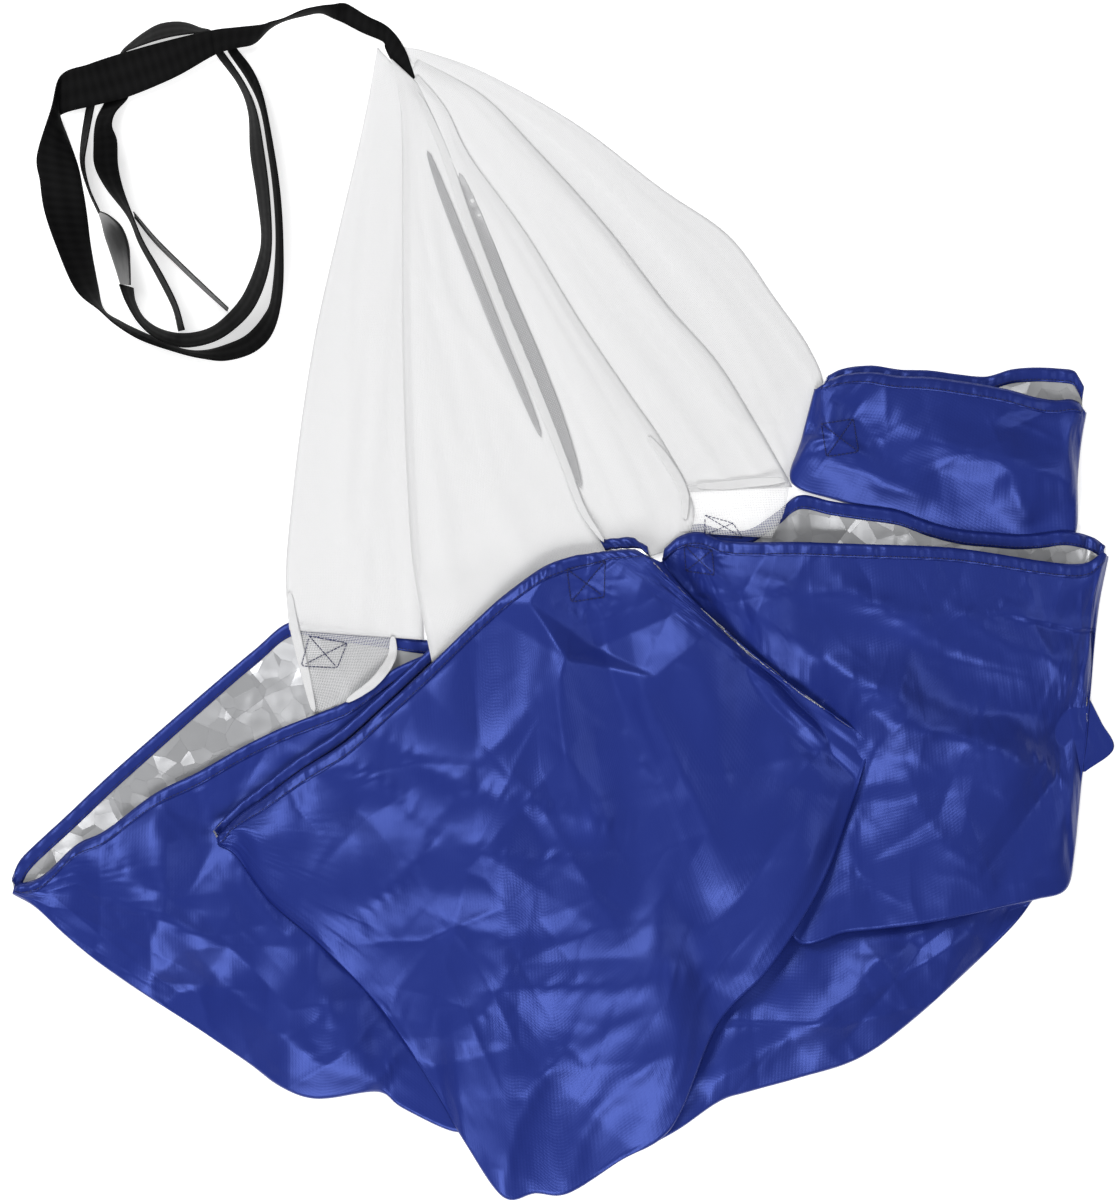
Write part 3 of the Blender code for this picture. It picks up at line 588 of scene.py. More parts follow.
# Drawn folds of the pockets' upper layers: line, height (a valley is below zero) and half width
LEFT_FOLDS_PIXELS = (
    (((377, 1089), (352, 1050), (330, 1010), (322, 960), (340, 905)), 0.007, 0.012),
    (((377, 1089), (362, 1030), (372, 985), (400, 950)), 0.005, 0.008),
    (((377, 1089), (330, 1062), (280, 1032), (225, 985), (180, 930)), 0.006, 0.014),
    (((377, 1089), (398, 1050), (420, 1025)), 0.005, 0.009),
    (((198, 786), (204, 808), (217, 824), (274, 773), (379, 706)), -0.006, 0.012),
    (((217, 826), (240, 868), (262, 905), (300, 945)), 0.005, 0.01),
    (((60, 880), (120, 905), (180, 925), (250, 960)), 0.005, 0.012),
    (((110, 835), (140, 880), (200, 915)), -0.004, 0.01),
    (((150, 810), (168, 870), (150, 940), (180, 990)), 0.005, 0.015),
)
FRONT_FOLDS_PIXELS = (
    (((433, 831), (365, 770), (300, 772)), 0.005, 0.012),
    (((433, 831), (500, 850), (548, 859), (610, 850)), 0.005, 0.011),
    (((433, 831), (400, 880), (350, 925)), 0.0045, 0.011),
    (((433, 831), (470, 770), (520, 720), (560, 640)), 0.004, 0.012),
    (((365, 725), (433, 768), (520, 800), (640, 830)), 0.005, 0.01),
    (((450, 1100), (480, 1020), (520, 990), (600, 990), (700, 975)), 0.011, 0.026),
    (((575, 610), (560, 680), (568, 760), (600, 830)), 0.006, 0.014),
    (((600, 600), (612, 680), (650, 760)), -0.005, 0.014),
    (((655, 640), (640, 700), (690, 800), (720, 900)), 0.006, 0.014),
    (((862, 757), (845, 790), (815, 850), (780, 915), (716, 1000)), 0.008, 0.018),
    (((820, 775), (770, 850), (730, 905), (660, 960)), -0.006, 0.016),
    (((742, 655), (752, 684), (771, 706), (805, 744), (824, 757), (862, 757)), -0.009, 0.011),
    (((755, 668), (795, 710), (850, 742)), 0.004, 0.008),
    (((503, 1190), (520, 1120), (560, 1060), (640, 1020)), 0.005, 0.01),
    (((568, 1190), (590, 1120), (640, 1070), (705, 1040)), 0.0045, 0.009),
    (((440, 920), (500, 940), (580, 930)), -0.004, 0.012),
)
RIGHT_FOLDS_PIXELS = (
    (((662, 560), (690, 598), (735, 640), (790, 684), (850, 728), (880, 755)), -0.012, 0.013),
    (((700, 575), (760, 620), (830, 665), (905, 700), (990, 720)), 0.009, 0.016),
    (((700, 560), (780, 585), (860, 600), (940, 640), (1040, 690)), 0.006, 0.012),
    (((710, 600), (760, 660), (820, 700)), 0.006, 0.012),
    (((850, 707), (921, 730), (997, 749), (1047, 783)), 0.012, 0.017),
    (((1087, 702), (1055, 735), (1036, 755)), -0.012, 0.02),
    (((900, 690), (980, 715), (1070, 715)), -0.008, 0.018),
    (((945, 600), (1000, 640), (1080, 665)), 0.005, 0.012),
    (((820, 560), (870, 600), (950, 620), (1040, 610)), 0.004, 0.01),
    (((870, 770), (850, 850), (885, 915)), -0.006, 0.014),
    (((900, 760), (930, 830), (1000, 880)), 0.006, 0.014),
    (((1010, 600), (1040, 640), (1060, 690)), 0.004, 0.01),
)
LOWER_FOLDS_PIXELS = (
    (((1000, 905), (930, 960), (820, 1020), (700, 1090)), 0.006, 0.012),
    (((900, 930), (860, 980), (800, 1040)), 0.005, 0.01),
    (((960, 900), (900, 950), (830, 980)), 0.004, 0.01),
)
UPPER_FOLDS_PIXELS = (
    (((890, 425), (960, 450), (1030, 468), (1075, 485)), 0.006, 0.011),
    (((800, 450), (860, 470), (930, 500)), 0.006, 0.012),
    (((1010, 475), (1020, 505), (1030, 525)), 0.005, 0.01),
    (((830, 400), (870, 430), (900, 480)), -0.004, 0.01),
)

# Long folds of the net, drawn like those of the pockets
NET_FOLDS_PIXELS = (
    (((395, 75), (384, 108), (389, 139), (384, 169), (396, 207), (408, 222), (424, 262)), 0.003, 0.0032),
    (((374, 80), (374, 122), (363, 177), (352, 259), (347, 396), (348, 528), (392, 631)), 0.0026, 0.007),
    (((386, 90), (378, 200), (380, 330), (384, 480)), 0.0022, 0.009),
    (((406, 105), (420, 260), (474, 342), (514, 396), (556, 470)), 0.0025, 0.004),
    (((404, 215), (424, 320), (432, 454), (448, 565), (459, 632)), 0.0028, 0.006),
    (((410, 300), (450, 420), (500, 520), (540, 560)), 0.0022, 0.01),
    (((440, 85), (511, 150), (572, 210), (626, 268), (690, 340)), 0.0028, 0.008),
    (((430, 95), (505, 175), (575, 280), (640, 370), (700, 470)), 0.0026, 0.009),
    (((450, 70), (560, 130), (650, 215), (730, 310), (780, 400)), 0.0026, 0.009),
    (((470, 190), (530, 290), (580, 380), (625, 470), (650, 530)), 0.0026, 0.006),
    (((700, 380), (740, 420), (790, 425)), 0.0018, 0.003),
)

# Strips of grey net beside the front hem, laid over the panels as painted shade of the net seen through
# there, and how wide they are
NET_SHADE_STRIPS_PIXELS = (
    (((427, 150), (444, 196), (470, 262), (497, 330), (520, 385), (541, 437)), 11),
    (((459, 172), (480, 224), (508, 296), (540, 372), (562, 430), (581, 488)), 14),
)

# Sewn boxes with a cross: four corners each, and the pieces that they lie on
BOXES_ON_NET_PIXELS = (
    ((309, 636), (347, 643), (337, 668), (301, 666)),
    ((705, 515), (733, 523), (743, 538), (705, 535)),
)
BOXES_ON_CLOTH_PIXELS = (
    ((567, 569), (605, 561), (604, 597), (571, 602)),
    ((684, 545), (712, 550), (714, 575), (686, 571)),
    ((821, 424), (853, 419), (858, 452), (826, 457)),
)

# Plan and curves


def to_plan(pixels):
    """Points of the plan, in metres, from points of the picture."""
    pixels = np.asarray(pixels, float)
    x = (pixels[..., 0] - PLAN_MIDDLE_PIXELS[0]) * PIXEL + PLAN_SHIFT[0]
    y = (PLAN_MIDDLE_PIXELS[1] - pixels[..., 1]) * PIXEL + PLAN_SHIFT[1]
    return np.stack([x, y], axis=-1)


def through(points, steps):
    """A smooth curve through points, or through whole rows of them, with this many steps between.

    Each stretch is a cubic. Its slope at a point is half the way between the point's two neighbours.
    """
    points = np.asarray(points, float)
    ends = np.concatenate([2 * points[:1] - points[1:2], points, 2 * points[-1:] - points[-2:-1]])
    curve = []
    for index in range(len(points) - 1):
        before, start, end, after = ends[index : index + 4]
        for t in np.arange(steps) / steps:
            curve.append(
                start
                + 0.5 * t * (end - before)
                + t * t * (before - 2.5 * start + 2 * end - 0.5 * after)
                + t * t * t * (1.5 * (start - end) + 0.5 * (after - before))
            )
    curve.append(points[-1])
    return np.array(curve)


def lengths_along(path):
    """How far along a path each of its points lies."""
    return np.pad(np.cumsum(np.linalg.norm(np.diff(path, axis=0), axis=-1)), (1, 0))


def ruled(left, right, columns):
    """A grid of points on straight lines from one edge to the other."""
    share = np.linspace(0, 1, columns)[None, :, None]
    return left[:, None] + share * (right - left)[:, None]


def plan_span(points, margin=0.0):
    """The lowest and the highest corner round points of the plan."""
    flat = points.reshape(-1, 2)
    return flat.min(axis=0) - margin, flat.max(axis=0) + margin


def refined(field, column_steps, row_steps):
    """A field over a grid, filled in smoothly between its columns and between its rows."""
    field = through(field, column_steps)
    return through(field.swapaxes(0, 1), row_steps).swapaxes(0, 1)


def blurred(field, count):
    """A field over a grid, averaged over this many neighbours on each side, both ways."""
    for axis in (0, 1):
        pad = [(0, 0)] * field.ndim
        pad[axis] = (count, count)
        padded = np.pad(field, pad, mode="edge")
        size = field.shape[axis]
        parts = [np.take(padded, np.arange(size) + shift, axis) for shift in range(2 * count + 1)]
        field = np.mean(parts, axis=0)
    return field


def line_distance(points, line):
    """How far each point of the plan is from a line of straight pieces, and how far along it."""
    nearest = np.full(points.shape[:-1], np.inf)
    place = np.zeros(points.shape[:-1])
    count = len(line) - 1
    for index in range(count):
        along = line[index + 1] - line[index]
        share = np.clip((points - line[index]) @ along / (along @ along), 0, 1)
        gap = np.linalg.norm(points - (line[index] + share[..., None] * along), axis=-1)
        closer = gap < nearest
        nearest = np.where(closer, gap, nearest)
        place = np.where(closer, (index + share) / count, place)
    return nearest, place


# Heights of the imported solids


def tree_of(names):
    """Some objects' shapes, as something to cast rays at."""
    points = []
    faces = []
    graph = bpy.context.evaluated_depsgraph_get()
    for name in names:
        piece = bpy.data.objects[name].evaluated_get(graph)
        mesh = piece.to_mesh()
        first = len(points)
        points += [piece.matrix_world @ corner.co for corner in mesh.vertices]
        faces += [[first + index for index in face.vertices] for face in mesh.polygons]
        piece.to_mesh_clear()
    return BVHTree.FromPolygons(points, faces)


def heights(tree, plan_grid, side, middle):
    """The highest (side 1) or the lowest (side -1) point of a shape over each point of the plan."""
    down = Vector((0, 0, -side))
    found = np.empty(plan_grid.shape[:-1])
    for place in np.ndindex(found.shape):
        x, y = plan_grid[place]
        hit = tree.ray_cast(Vector((x, y, side * RAY_HEIGHT)), down)[0]
        if hit is None:
            hit = tree.find_nearest(Vector((x, y, middle)))[0]
        found[place] = hit.z
    return found


def room(tree, grid):
    """How far each point of a grid can rise before it meets a shape."""
    up = Vector((0, 0, 1))
    found = np.full(grid.shape[:-1], np.inf)
    for place in np.ndindex(found.shape):
        hit = tree.ray_cast(Vector(grid[place]) + RAY_START * up, up)
        if hit[0] is not None:
            found[place] = hit[3] + RAY_START
    return found


def solid_span(name):
    """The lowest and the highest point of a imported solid."""
    tall = [corner.co.z for corner in bpy.data.objects[name].data.vertices]
    return min(tall), max(tall)


# Meshes


def grid_faces(rows, columns):
    """The squares of a grid of points."""
    index = np.arange(rows * columns).reshape(rows, columns)
    corners = [index[:-1, :-1], index[1:, :-1], index[1:, 1:], index[:-1, 1:]]
    return np.stack(corners, axis=-1).reshape(-1, 4)


def spread_of(grid):
    """Where each point of a grid lies on the flat cloth: metres across and metres along."""
    across = np.linalg.norm(np.diff(grid, axis=1), axis=-1)
    along = np.linalg.norm(np.diff(grid, axis=0), axis=-1).mean(axis=1)
    u = np.pad(np.cumsum(across, axis=1), ((0, 0), (1, 0)))
    v = np.pad(np.cumsum(along), (1, 0))
    return np.stack([u, np.broadcast_to(v[:, None], u.shape)], axis=-1)


def faces_up(grid):
    """Whether a grid's squares face up on the whole."""
    normal = np.cross(grid[1:, 1:] - grid[:-1, :-1], grid[:-1, 1:] - grid[1:, :-1])
    return normal[..., 2].sum() > 0


def link(piece):
    """Puts an object in the scene."""
    bpy.context.scene.collection.objects.link(piece)
    return piece


def mesh_object(name, points, faces, materials, spread=None):
    """An object of these points and faces, smooth, with its place on the flat cloth as its UV map."""
    mesh = bpy.data.meshes.new(name)
    mesh.from_pydata(points.reshape(-1, 3).tolist(), [], faces.tolist())
    mesh.shade_smooth()
    for made_of in materials:
        mesh.materials.append(made_of)
    if spread is not None:
        layer = mesh.uv_layers.new(name="UVMap")
        corners = np.empty(len(mesh.loops), int)
        mesh.loops.foreach_get("vertex_index", corners)
        layer.data.foreach_set("uv", spread.reshape(-1, 2)[corners].ravel())
    return link(bpy.data.objects.new(name, mesh))


def sheet_object(name, grid, fabric):
    """A sheet over a grid of points, its squares facing up."""
    faces = grid_faces(*grid.shape[:2])
    if not faces_up(grid):
        faces = faces[:, ::-1]
    return mesh_object(name, grid, faces, [fabric], spread_of(grid))


def apply_modifiers(piece):
    """Makes a piece's modifiers part of its mesh."""
    graph = bpy.context.evaluated_depsgraph_get()
    made = bpy.data.meshes.new_from_object(piece.evaluated_get(graph))
    piece.modifiers.clear()
    piece.data = made


def thickened(piece, thickness, side, inside=0):
    """Gives a sheet its thickness; the inside and the rim can have a material of their own."""
    solid = piece.modifiers.new("Thickness", "SOLIDIFY")
    solid.thickness = thickness
    solid.offset = side
    solid.material_offset = inside
    apply_modifiers(piece)
    piece.data.shade_smooth()
    return piece


# Creases


def ridge(away, half_width):
    """The cross-section of a crease: a sharp crest with soft flanks."""
    share = away / half_width
    return np.exp(-share) * (1 + CREASE_FLANK * share)


def crease(points, line, height, half_width):
    """The height of one crease along a line, at these points. It fades out at both its ends."""
    away, place = line_distance(points, line)
    return height * ridge(away, half_width) * np.sin(np.pi * place) ** CREASE_END_POWER


def drawn_folds(points, folds_pixels):
    """The height of drawn folds, at these points of the plan."""
    total = np.zeros(points.shape[:-1])
    for line_pixels, height, half_width in folds_pixels:
        total += crease(points, through(to_plan(line_pixels), FOLD_STEPS), height, half_width)
    return total


def random_creases(points, kind, seed):
    """Creases of random place, length and height, as cloth keeps from being packed."""
    per_area, lengths, crease_heights, half_widths = kind
    source = np.random.default_rng(seed)
    low, high = plan_span(points)
    total = np.zeros(points.shape[:-1])
    for _ in range(int(np.prod(high - low) * per_area)):
        start = source.uniform(low, high)
        length = source.uniform(*lengths)
        turn = source.uniform(0, np.pi)
        bend = source.uniform(-CREASE_BEND, CREASE_BEND) * length
        along = np.array([np.cos(turn), np.sin(turn)])
        across = np.array([-along[1], along[0]])
        middle = start + 0.5 * length * along + bend * across
        line = np.array([start, middle, start + length * along])
        height = source.uniform(*crease_heights) * source.choice([-1, 1])
        half_width = source.uniform(*half_widths)
        near = np.linalg.norm(points - middle, axis=-1) < 0.5 * length + CREASE_SPAN * half_width
        if near.any():
            total[near] += crease(points[near], line, height, half_width)
    return total


def facets(points, kind, seed):
    """Flat facets that meet in crisp creases: random corners, each at its own height, in triangles."""
    per_area, height = kind
    source = np.random.default_rng(seed)
    low, high = plan_span(points, FACET_MARGIN)
    corners = source.uniform(low, high, (int(np.prod(high - low) * per_area), 2))
    found = delaunay_2d_cdt([Vector(corner) for corner in corners], [], [], 0, NEAREST_CORNERS)
    places = np.array([tuple(corner) for corner in found[0]])
    peaks = height * np.clip(source.normal(size=len(places)), -MOST_FACET, MOST_FACET)
    size = np.ceil((high - low) / FACET_PIXEL).astype(int) + 1
    tall = np.zeros(size)
    for triangle in found[2]:
        first, second, third = (places[triangle] - low) / FACET_PIXEL
        sides = np.array([second - first, third - first]).T
        if abs(np.linalg.det(sides)) < SMALLEST_FACET:
            continue
        start = np.floor(np.min([first, second, third], axis=0)).astype(int)
        end = np.ceil(np.max([first, second, third], axis=0)).astype(int) + 1
        box = tuple(slice(one, other) for one, other in zip(start, end))
        cells = np.stack(np.mgrid[box], axis=-1)
        shares = (cells - first) @ np.linalg.inv(sides).T
        inside = (shares >= 0).all(axis=-1) & (shares.sum(axis=-1) <= 1)
        values = peaks[triangle[0]] + shares @ (peaks[triangle[1:]] - peaks[triangle[0]])
        tall[box] = np.where(inside, values, tall[box])
    return between(tall, (points - low) / FACET_PIXEL)


def between(field, places):
    """A field's value at places between its points."""
    corner = np.floor(places).astype(int)
    x, y = (places - corner)[..., 0], (places - corner)[..., 1]
    i, j = corner[..., 0], corner[..., 1]
    near = field[i, j] * (1 - x) + field[i + 1, j] * x
    far = field[i, j + 1] * (1 - x) + field[i + 1, j + 1] * x
    return near * (1 - y) + far * y


def puckers(points, boxes_pixels, seed):
    """Short creases that run out of the sewn boxes, where the thread draws the cloth in."""
    source = np.random.default_rng(seed)
    total = np.zeros(points.shape[:-1])
    for box_pixels in boxes_pixels:
        middle = to_plan(box_pixels).mean(axis=0)
        near = np.linalg.norm(points - middle, axis=-1) < PUCKER_REACH[1] + HEM_WIDTH
        if near.any():
            for _ in range(BOX_PUCKERS):
                turn = source.uniform(0, 2 * np.pi)
                along = np.array([np.cos(turn), np.sin(turn)])
                ends = (source.uniform(*PUCKER_REACH), source.uniform(0, PUCKER_REACH[0]))
                height = source.uniform(*PUCKER_HEIGHTS) * source.choice([-1, 1])
                line = middle + np.outer(ends, along)
                total[near] += crease(points[near], line, height, PUCKER_HALF_WIDTH)
    return total


# What creases a pocket's layers: how each kind is made, its values, and its own step of the seed
UPPER_CREASES = (
    (random_creases, BROAD_CREASES, 0),
    (random_creases, THIN_CREASES, 1),
    (facets, LARGE_FACETS, 4),
    (facets, SMALL_FACETS, 5),
    (puckers, BOXES_ON_CLOTH_PIXELS, 7),
)
LOWER_CREASES = (
    (random_creases, BROAD_CREASES, 2),
    (random_creases, THIN_CREASES, 3),
    (facets, LOWER_FACETS, 6),
)


# Canopy


class Lobe:
    """One folded pocket of the canopy: its lower layer, the fold and its upper layer, as one cloth."""

    def __init__(self, name, ribs_pixels, folds_pixels, above_names, seed):
        self.name = name
        self.seed = seed
        self.folds_pixels = folds_pixels
        self.ribs = to_plan(ribs_pixels)
        self.tree = tree_of([f"canopy_{name}_lobe"])
        low, high = solid_span(f"canopy_{name}_lobe")
        self.middle = 0.5 * (low + high)
        self.above = tree_of(above_names) if above_names else None
        longest = np.linalg.norm(self.ribs[:, 2] - self.ribs[:, 0], axis=-1).max()
        widest = np.linalg.norm(np.diff(self.ribs[:, 2], axis=0), axis=-1).mean()
        self.row_steps = int(np.ceil(longest / (COARSE_ROWS - 1) / (FINE_STEPS * CLOTH_SQUARE)))
        self.column_steps = int(np.ceil(0.5 * widest / (FINE_STEPS * CLOTH_SQUARE)))

    def plan(self, hem_index, column_steps, rows, nudge=0.0):
        """A layer's points over the plan, from its hem (0 near, 1 far) to the fold.

        The lower layer soon runs under the upper one, so that it doesn't look out beside it.
        """
        near = through(self.ribs[:, 0], column_steps)
        hem = through(self.ribs[:, hem_index], column_steps)
        fold = through(self.ribs[:, 2], column_steps)
        share = np.linspace(nudge, 1 - nudge, rows)[None, :, None]
        grid = near[:, None] + share * (fold - near)[:, None]
        grid += (1 - share) ** FAR_HEM_POWER * (hem - near)[:, None]
        if nudge:
            grid[0] += nudge * (grid[1] - grid[0])
            grid[-1] += nudge * (grid[-2] - grid[-1])
        return grid

    def layer(self, hem_index, side):
        """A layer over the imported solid: the upper one's top, or the lower one's underside."""
        coarse = self.plan(hem_index, SOLID_COLUMNS, COARSE_ROWS, NUDGE_SHARE)
        tall = heights(self.tree, coarse, side, self.middle)
        tall = refined(tall, self.column_steps, self.row_steps)
        rows = (COARSE_ROWS - 1) * self.row_steps + 1
        flat = self.plan(hem_index, SOLID_COLUMNS * self.column_steps, rows)
        return np.concatenate([flat, tall[..., None]], axis=-1)

    def build(self, outside, inside):
        """Makes both layers, lets the upper one settle and joins them at the fold."""
        lower = self.layer(1, -1)
        upper = self.layer(0, 1)
        start = upper.copy()
        start[..., 2] += drawn_folds(upper[..., :2], self.folds_pixels)
        free = self.freedom(upper)
        grid = refined(simulated(start, free, self.seed), FINE_STEPS, FINE_STEPS)
        self.lower = refined(lower, FINE_STEPS, FINE_STEPS)
        self.lower[..., 2] += self.lower_creases()
        free = refined(free, FINE_STEPS, FINE_STEPS)
        grid[..., 2] += self.creases(grid, UPPER_CREASES) * np.clip(free, COVERED_CREASE_SHARE, 1)
        base = refined(upper, FINE_STEPS, FINE_STEPS)
        self.upper = self.kept_apart(grid, base)
        self.piece = self.cloth(outside, inside)
        return self

    def creases(self, grid, kinds):
        """The heights of all the creases of a layer."""
        return sum(make(grid[..., :2], values, self.seed + step) for make, values, step in kinds)

    def lower_creases(self):
        """Creases of the lower layer. They only rise, as it lies on what is below, and end at its edges."""
        rows, columns = self.lower.shape[:2]
        creases = self.creases(self.lower, LOWER_CREASES)
        ends = np.sin(np.pi * np.linspace(0, 1, rows))[:, None] * np.sin(np.pi * np.linspace(0, 1, columns))
        return LOWER_CREASE_SHARE * np.clip(creases, 0, MOST_LOWER_CREASE) * ends**END_POWER

    def freedom(self, upper):
        """1 where the upper layer can move, 0 where other cloth lies on it, soft in between."""
        free = np.ones(upper.shape[:2])
        if self.above is not None:
            free = np.isinf(room(self.above, upper)).astype(float)
        count = max(1, int(round(COVERED_FADE / (FINE_STEPS * CLOTH_SQUARE))))
        return np.clip(2 * blurred(free, count) - 1, 0, 1)

    def kept_apart(self, grid, base):
        """Keeps the upper layer above the lower one and under whatever lies on it."""
        tall = grid[..., 2]
        if self.above is not None:
            roof = base[..., 2] + room(self.above, base) - LAYER_GAP
            tall = np.minimum(tall, np.maximum(roof, base[..., 2]))
        below = lower_heights(self.lower, grid) + 2 * CLOTH + LAYER_GAP
        tall = np.maximum(tall, below)
        tall[:, -1] = np.maximum(tall[:, -1], self.lower[:, -1, 2] + FOLD_GAP)
        grid[..., 2] = tall
        return grid

    def cloth(self, outside, inside):
        """Both layers as one cloth, joined by a fold that bulges a little, with its coating inside."""
        upper, lower = self.upper, self.lower
        edge = upper[:, -1]
        along = np.gradient(edge[:, :2], axis=0)
        away = np.stack([along[:, 1], -along[:, 0]], axis=-1)
        away *= np.sign(np.sum(away * (edge - upper[:, -2])[:, :2]))
        away /= np.linalg.norm(away, axis=-1)[:, None]
        middle = 0.5 * (edge + lower[:, -1])
        middle[:, :2] += FOLD_BULGE * away
        points = np.concatenate([lower, middle[:, None], upper[:, ::-1]], axis=1)
        faces = grid_faces(*points.shape[:2])
        normal = np.cross(points[1, 1] - points[0, 0], points[0, 1] - points[1, 0])
        if normal[2] > 0:
            faces = faces[:, ::-1]
        piece = mesh_object(f"{self.name}_lobe_cloth", points, faces, [outside, inside], spread_of(points))
        return thickened(piece, CLOTH, -1, 1)


def lower_heights(lower, grid):
    """How high the lower layer is under each point of the upper one."""
    tree = BVHTree.FromPolygons(lower.reshape(-1, 3).tolist(), grid_faces(*lower.shape[:2]).tolist())
    found = np.full(grid.shape[:-1], -np.inf)
    up = Vector((0, 0, 1))
    for place in np.ndindex(found.shape):
        x, y = grid[place][:2]
        hit = tree.ray_cast(Vector((x, y, -RAY_HEIGHT)), up)[0]
        if hit is not None:
            found[place] = hit.z
    return found


def settled(grid, hold):
    """Where a layer's points end when it grows a little while it's held this much at each point."""
    piece = mesh_object("settling cloth", grid, grid_faces(*grid.shape[:2]), [])
    held = piece.vertex_groups.new(name="held")
    for index, weight in enumerate(hold.ravel()):
        held.add([index], float(weight), "REPLACE")
    cloth = piece.modifiers.new("Cloth", "CLOTH")
    settings = cloth.settings
    settings.vertex_group_mass = "held"
    settings.quality = CLOTH_QUALITY
    settings.mass = CLOTH_MASS
    settings.tension_stiffness = CLOTH_TENSION
    settings.compression_stiffness = CLOTH_TENSION
    settings.shear_stiffness = CLOTH_SHEAR
    settings.bending_stiffness = CLOTH_BENDING
    settings.shrink_min = -CLOTH_GROWTH
    settings.effector_weights.gravity = 0
    cloth.collision_settings.use_collision = False
    scene = bpy.context.scene
    cloth.point_cache.frame_start = 1
    cloth.point_cache.frame_end = CLOTH_FRAMES
    for number in range(1, CLOTH_FRAMES + 1):
        scene.frame_set(number)
    graph = bpy.context.evaluated_depsgraph_get()
    found = np.empty(grid.size)
    piece.evaluated_get(graph).data.vertices.foreach_get("co", found)
    bpy.data.objects.remove(piece)
    scene.frame_set(1)
    return found.reshape(grid.shape)


def simulated(grid, free, seed):
    """Lets a layer buckle as loose cloth does, where it's free, and no further than cloth that lies."""
    source = np.random.default_rng(seed)
    started = grid.copy()
    started[..., 2] += source.normal(0, SETTLE_NOISE, free.shape) * free
    hold = 1 - free
    hold[[0, -1]] = 1
    hold[:, [0, -1]] = 1
    moved = settled(started, hold) - grid
    flat = np.linalg.norm(moved[..., :2], axis=-1)[..., None]
    moved[..., :2] *= np.minimum(1, MOST_SLIDE / np.maximum(flat, MOST_SLIDE))
    moved[..., 2] = MOST_RISE * np.tanh(moved[..., 2] / MOST_RISE)
    from_hem = np.minimum(1, np.linspace(0, 1, grid.shape[1]) / CALM_HEM_SHARE)
    return grid + blurred(moved, 1) * (free * from_hem)[..., None]


# Hems and stitches


def waviness(along, seed):
    """A smooth random wave over a length, between -1 and 1 or so."""
    source = np.random.default_rng(seed)
    total = np.zeros_like(along)
    for _ in range(WAVES):
        length = source.uniform(*PUCKER_LENGTHS)
        total += np.sin(2 * np.pi * (along / length + source.uniform()))
    return total / np.sqrt(WAVES)


def inward(grid, distances):
    """The points of each column of a grid that lie these lengths of cloth in from its first row."""
    found = []
    for column in grid:
        place = lengths_along(column)
        wanted = np.minimum(distances, SHORT_RIB_SHARE * place[-1])
        found.append([np.interp(wanted, place, column[:, axis]) for axis in range(3)])
    return np.array(found).swapaxes(1, 2)


def hem(name, grid, fabric, seed):
    """The turned edge of a layer: a strip with a soft roll, drawn in here and there by its stitches."""
    shares = np.linspace(0, 1, HEM_COLUMNS)
    strip = inward(grid, shares * HEM_WIDTH)
    edge = strip[:, 0, :2] - strip[:, 1, :2]
    edge /= np.linalg.norm(edge, axis=-1)[:, None]
    strip[:, 0, :2] += HEM_OVERHANG * edge
    round_over = np.sin(np.pi * shares) ** CROWN_POWER
    drawn_in = waviness(lengths_along(strip[:, 2]), seed)[:, None] * HEM_PUCKER * round_over
    strip[..., 2] += HEM_LIFT + HEM_CROWN * round_over + drawn_in
    strip[:, 0, 2] -= HEM_OVERHANG
    strip[..., 2] = np.maximum(strip[..., 2], 0)
    seam = strip[:, -2] + (0, 0, STITCH_LIFT)
    return thickened(sheet_object(name, strip, fabric), HEM_CLOTH, 1), seam


def evenly(path, pitch):
    """Points along a path, this far apart."""
    place = lengths_along(path)
    wanted = np.arange(0, place[-1], pitch)
    return np.stack([np.interp(wanted, place, path[:, axis]) for axis in range(3)], axis=-1)


def stitches(name, paths, thread):
    """Short straight stitches along some paths, as one piece."""
    points = []
    faces = []
    for path in paths:
        holes = evenly(path, STITCH_PITCH)
        for start, end in zip(holes[:-1], holes[1:]):
            finish = start + STITCH_SHARE * (end - start)
            across = np.array([start[1] - end[1], end[0] - start[0], 0])
            across *= 0.5 * STITCH_WIDTH / np.linalg.norm(across)
            up = np.array([0, 0, STITCH_WIDTH])
            corners = [start - across, finish - across, finish + across, start + across]
            faces.append(BOX_FACES + BOX_CORNERS * len(faces))
            points += [corner - 0.5 * up for corner in corners]
            points += [corner + 0.5 * up for corner in corners]
    return mesh_object(name, np.array(points), np.concatenate(faces)[:, ::-1], [thread])


def sewn_box(corners_pixels, tree):
    """The paths of a sewn box and its cross, laid on the shapes below."""
    corners = to_plan(corners_pixels)
    first, second, third, fourth = corners
    lines = [(first, second, third, fourth, first), (first, third), (second, fourth)]
    paths = []
    for line in lines:
        flat = []
        for start, end in zip(line[:-1], line[1:]):
            share = np.linspace(0, 1, BOX_STEPS)[:, None]
            flat.append(start + share * (end - start))
        flat = np.concatenate(flat)
        tall = heights(tree, flat, 1, 0) + STITCH_LIFT
        paths.append(np.concatenate([flat, tall[:, None]], axis=-1))
    return paths


# Mesh funnel


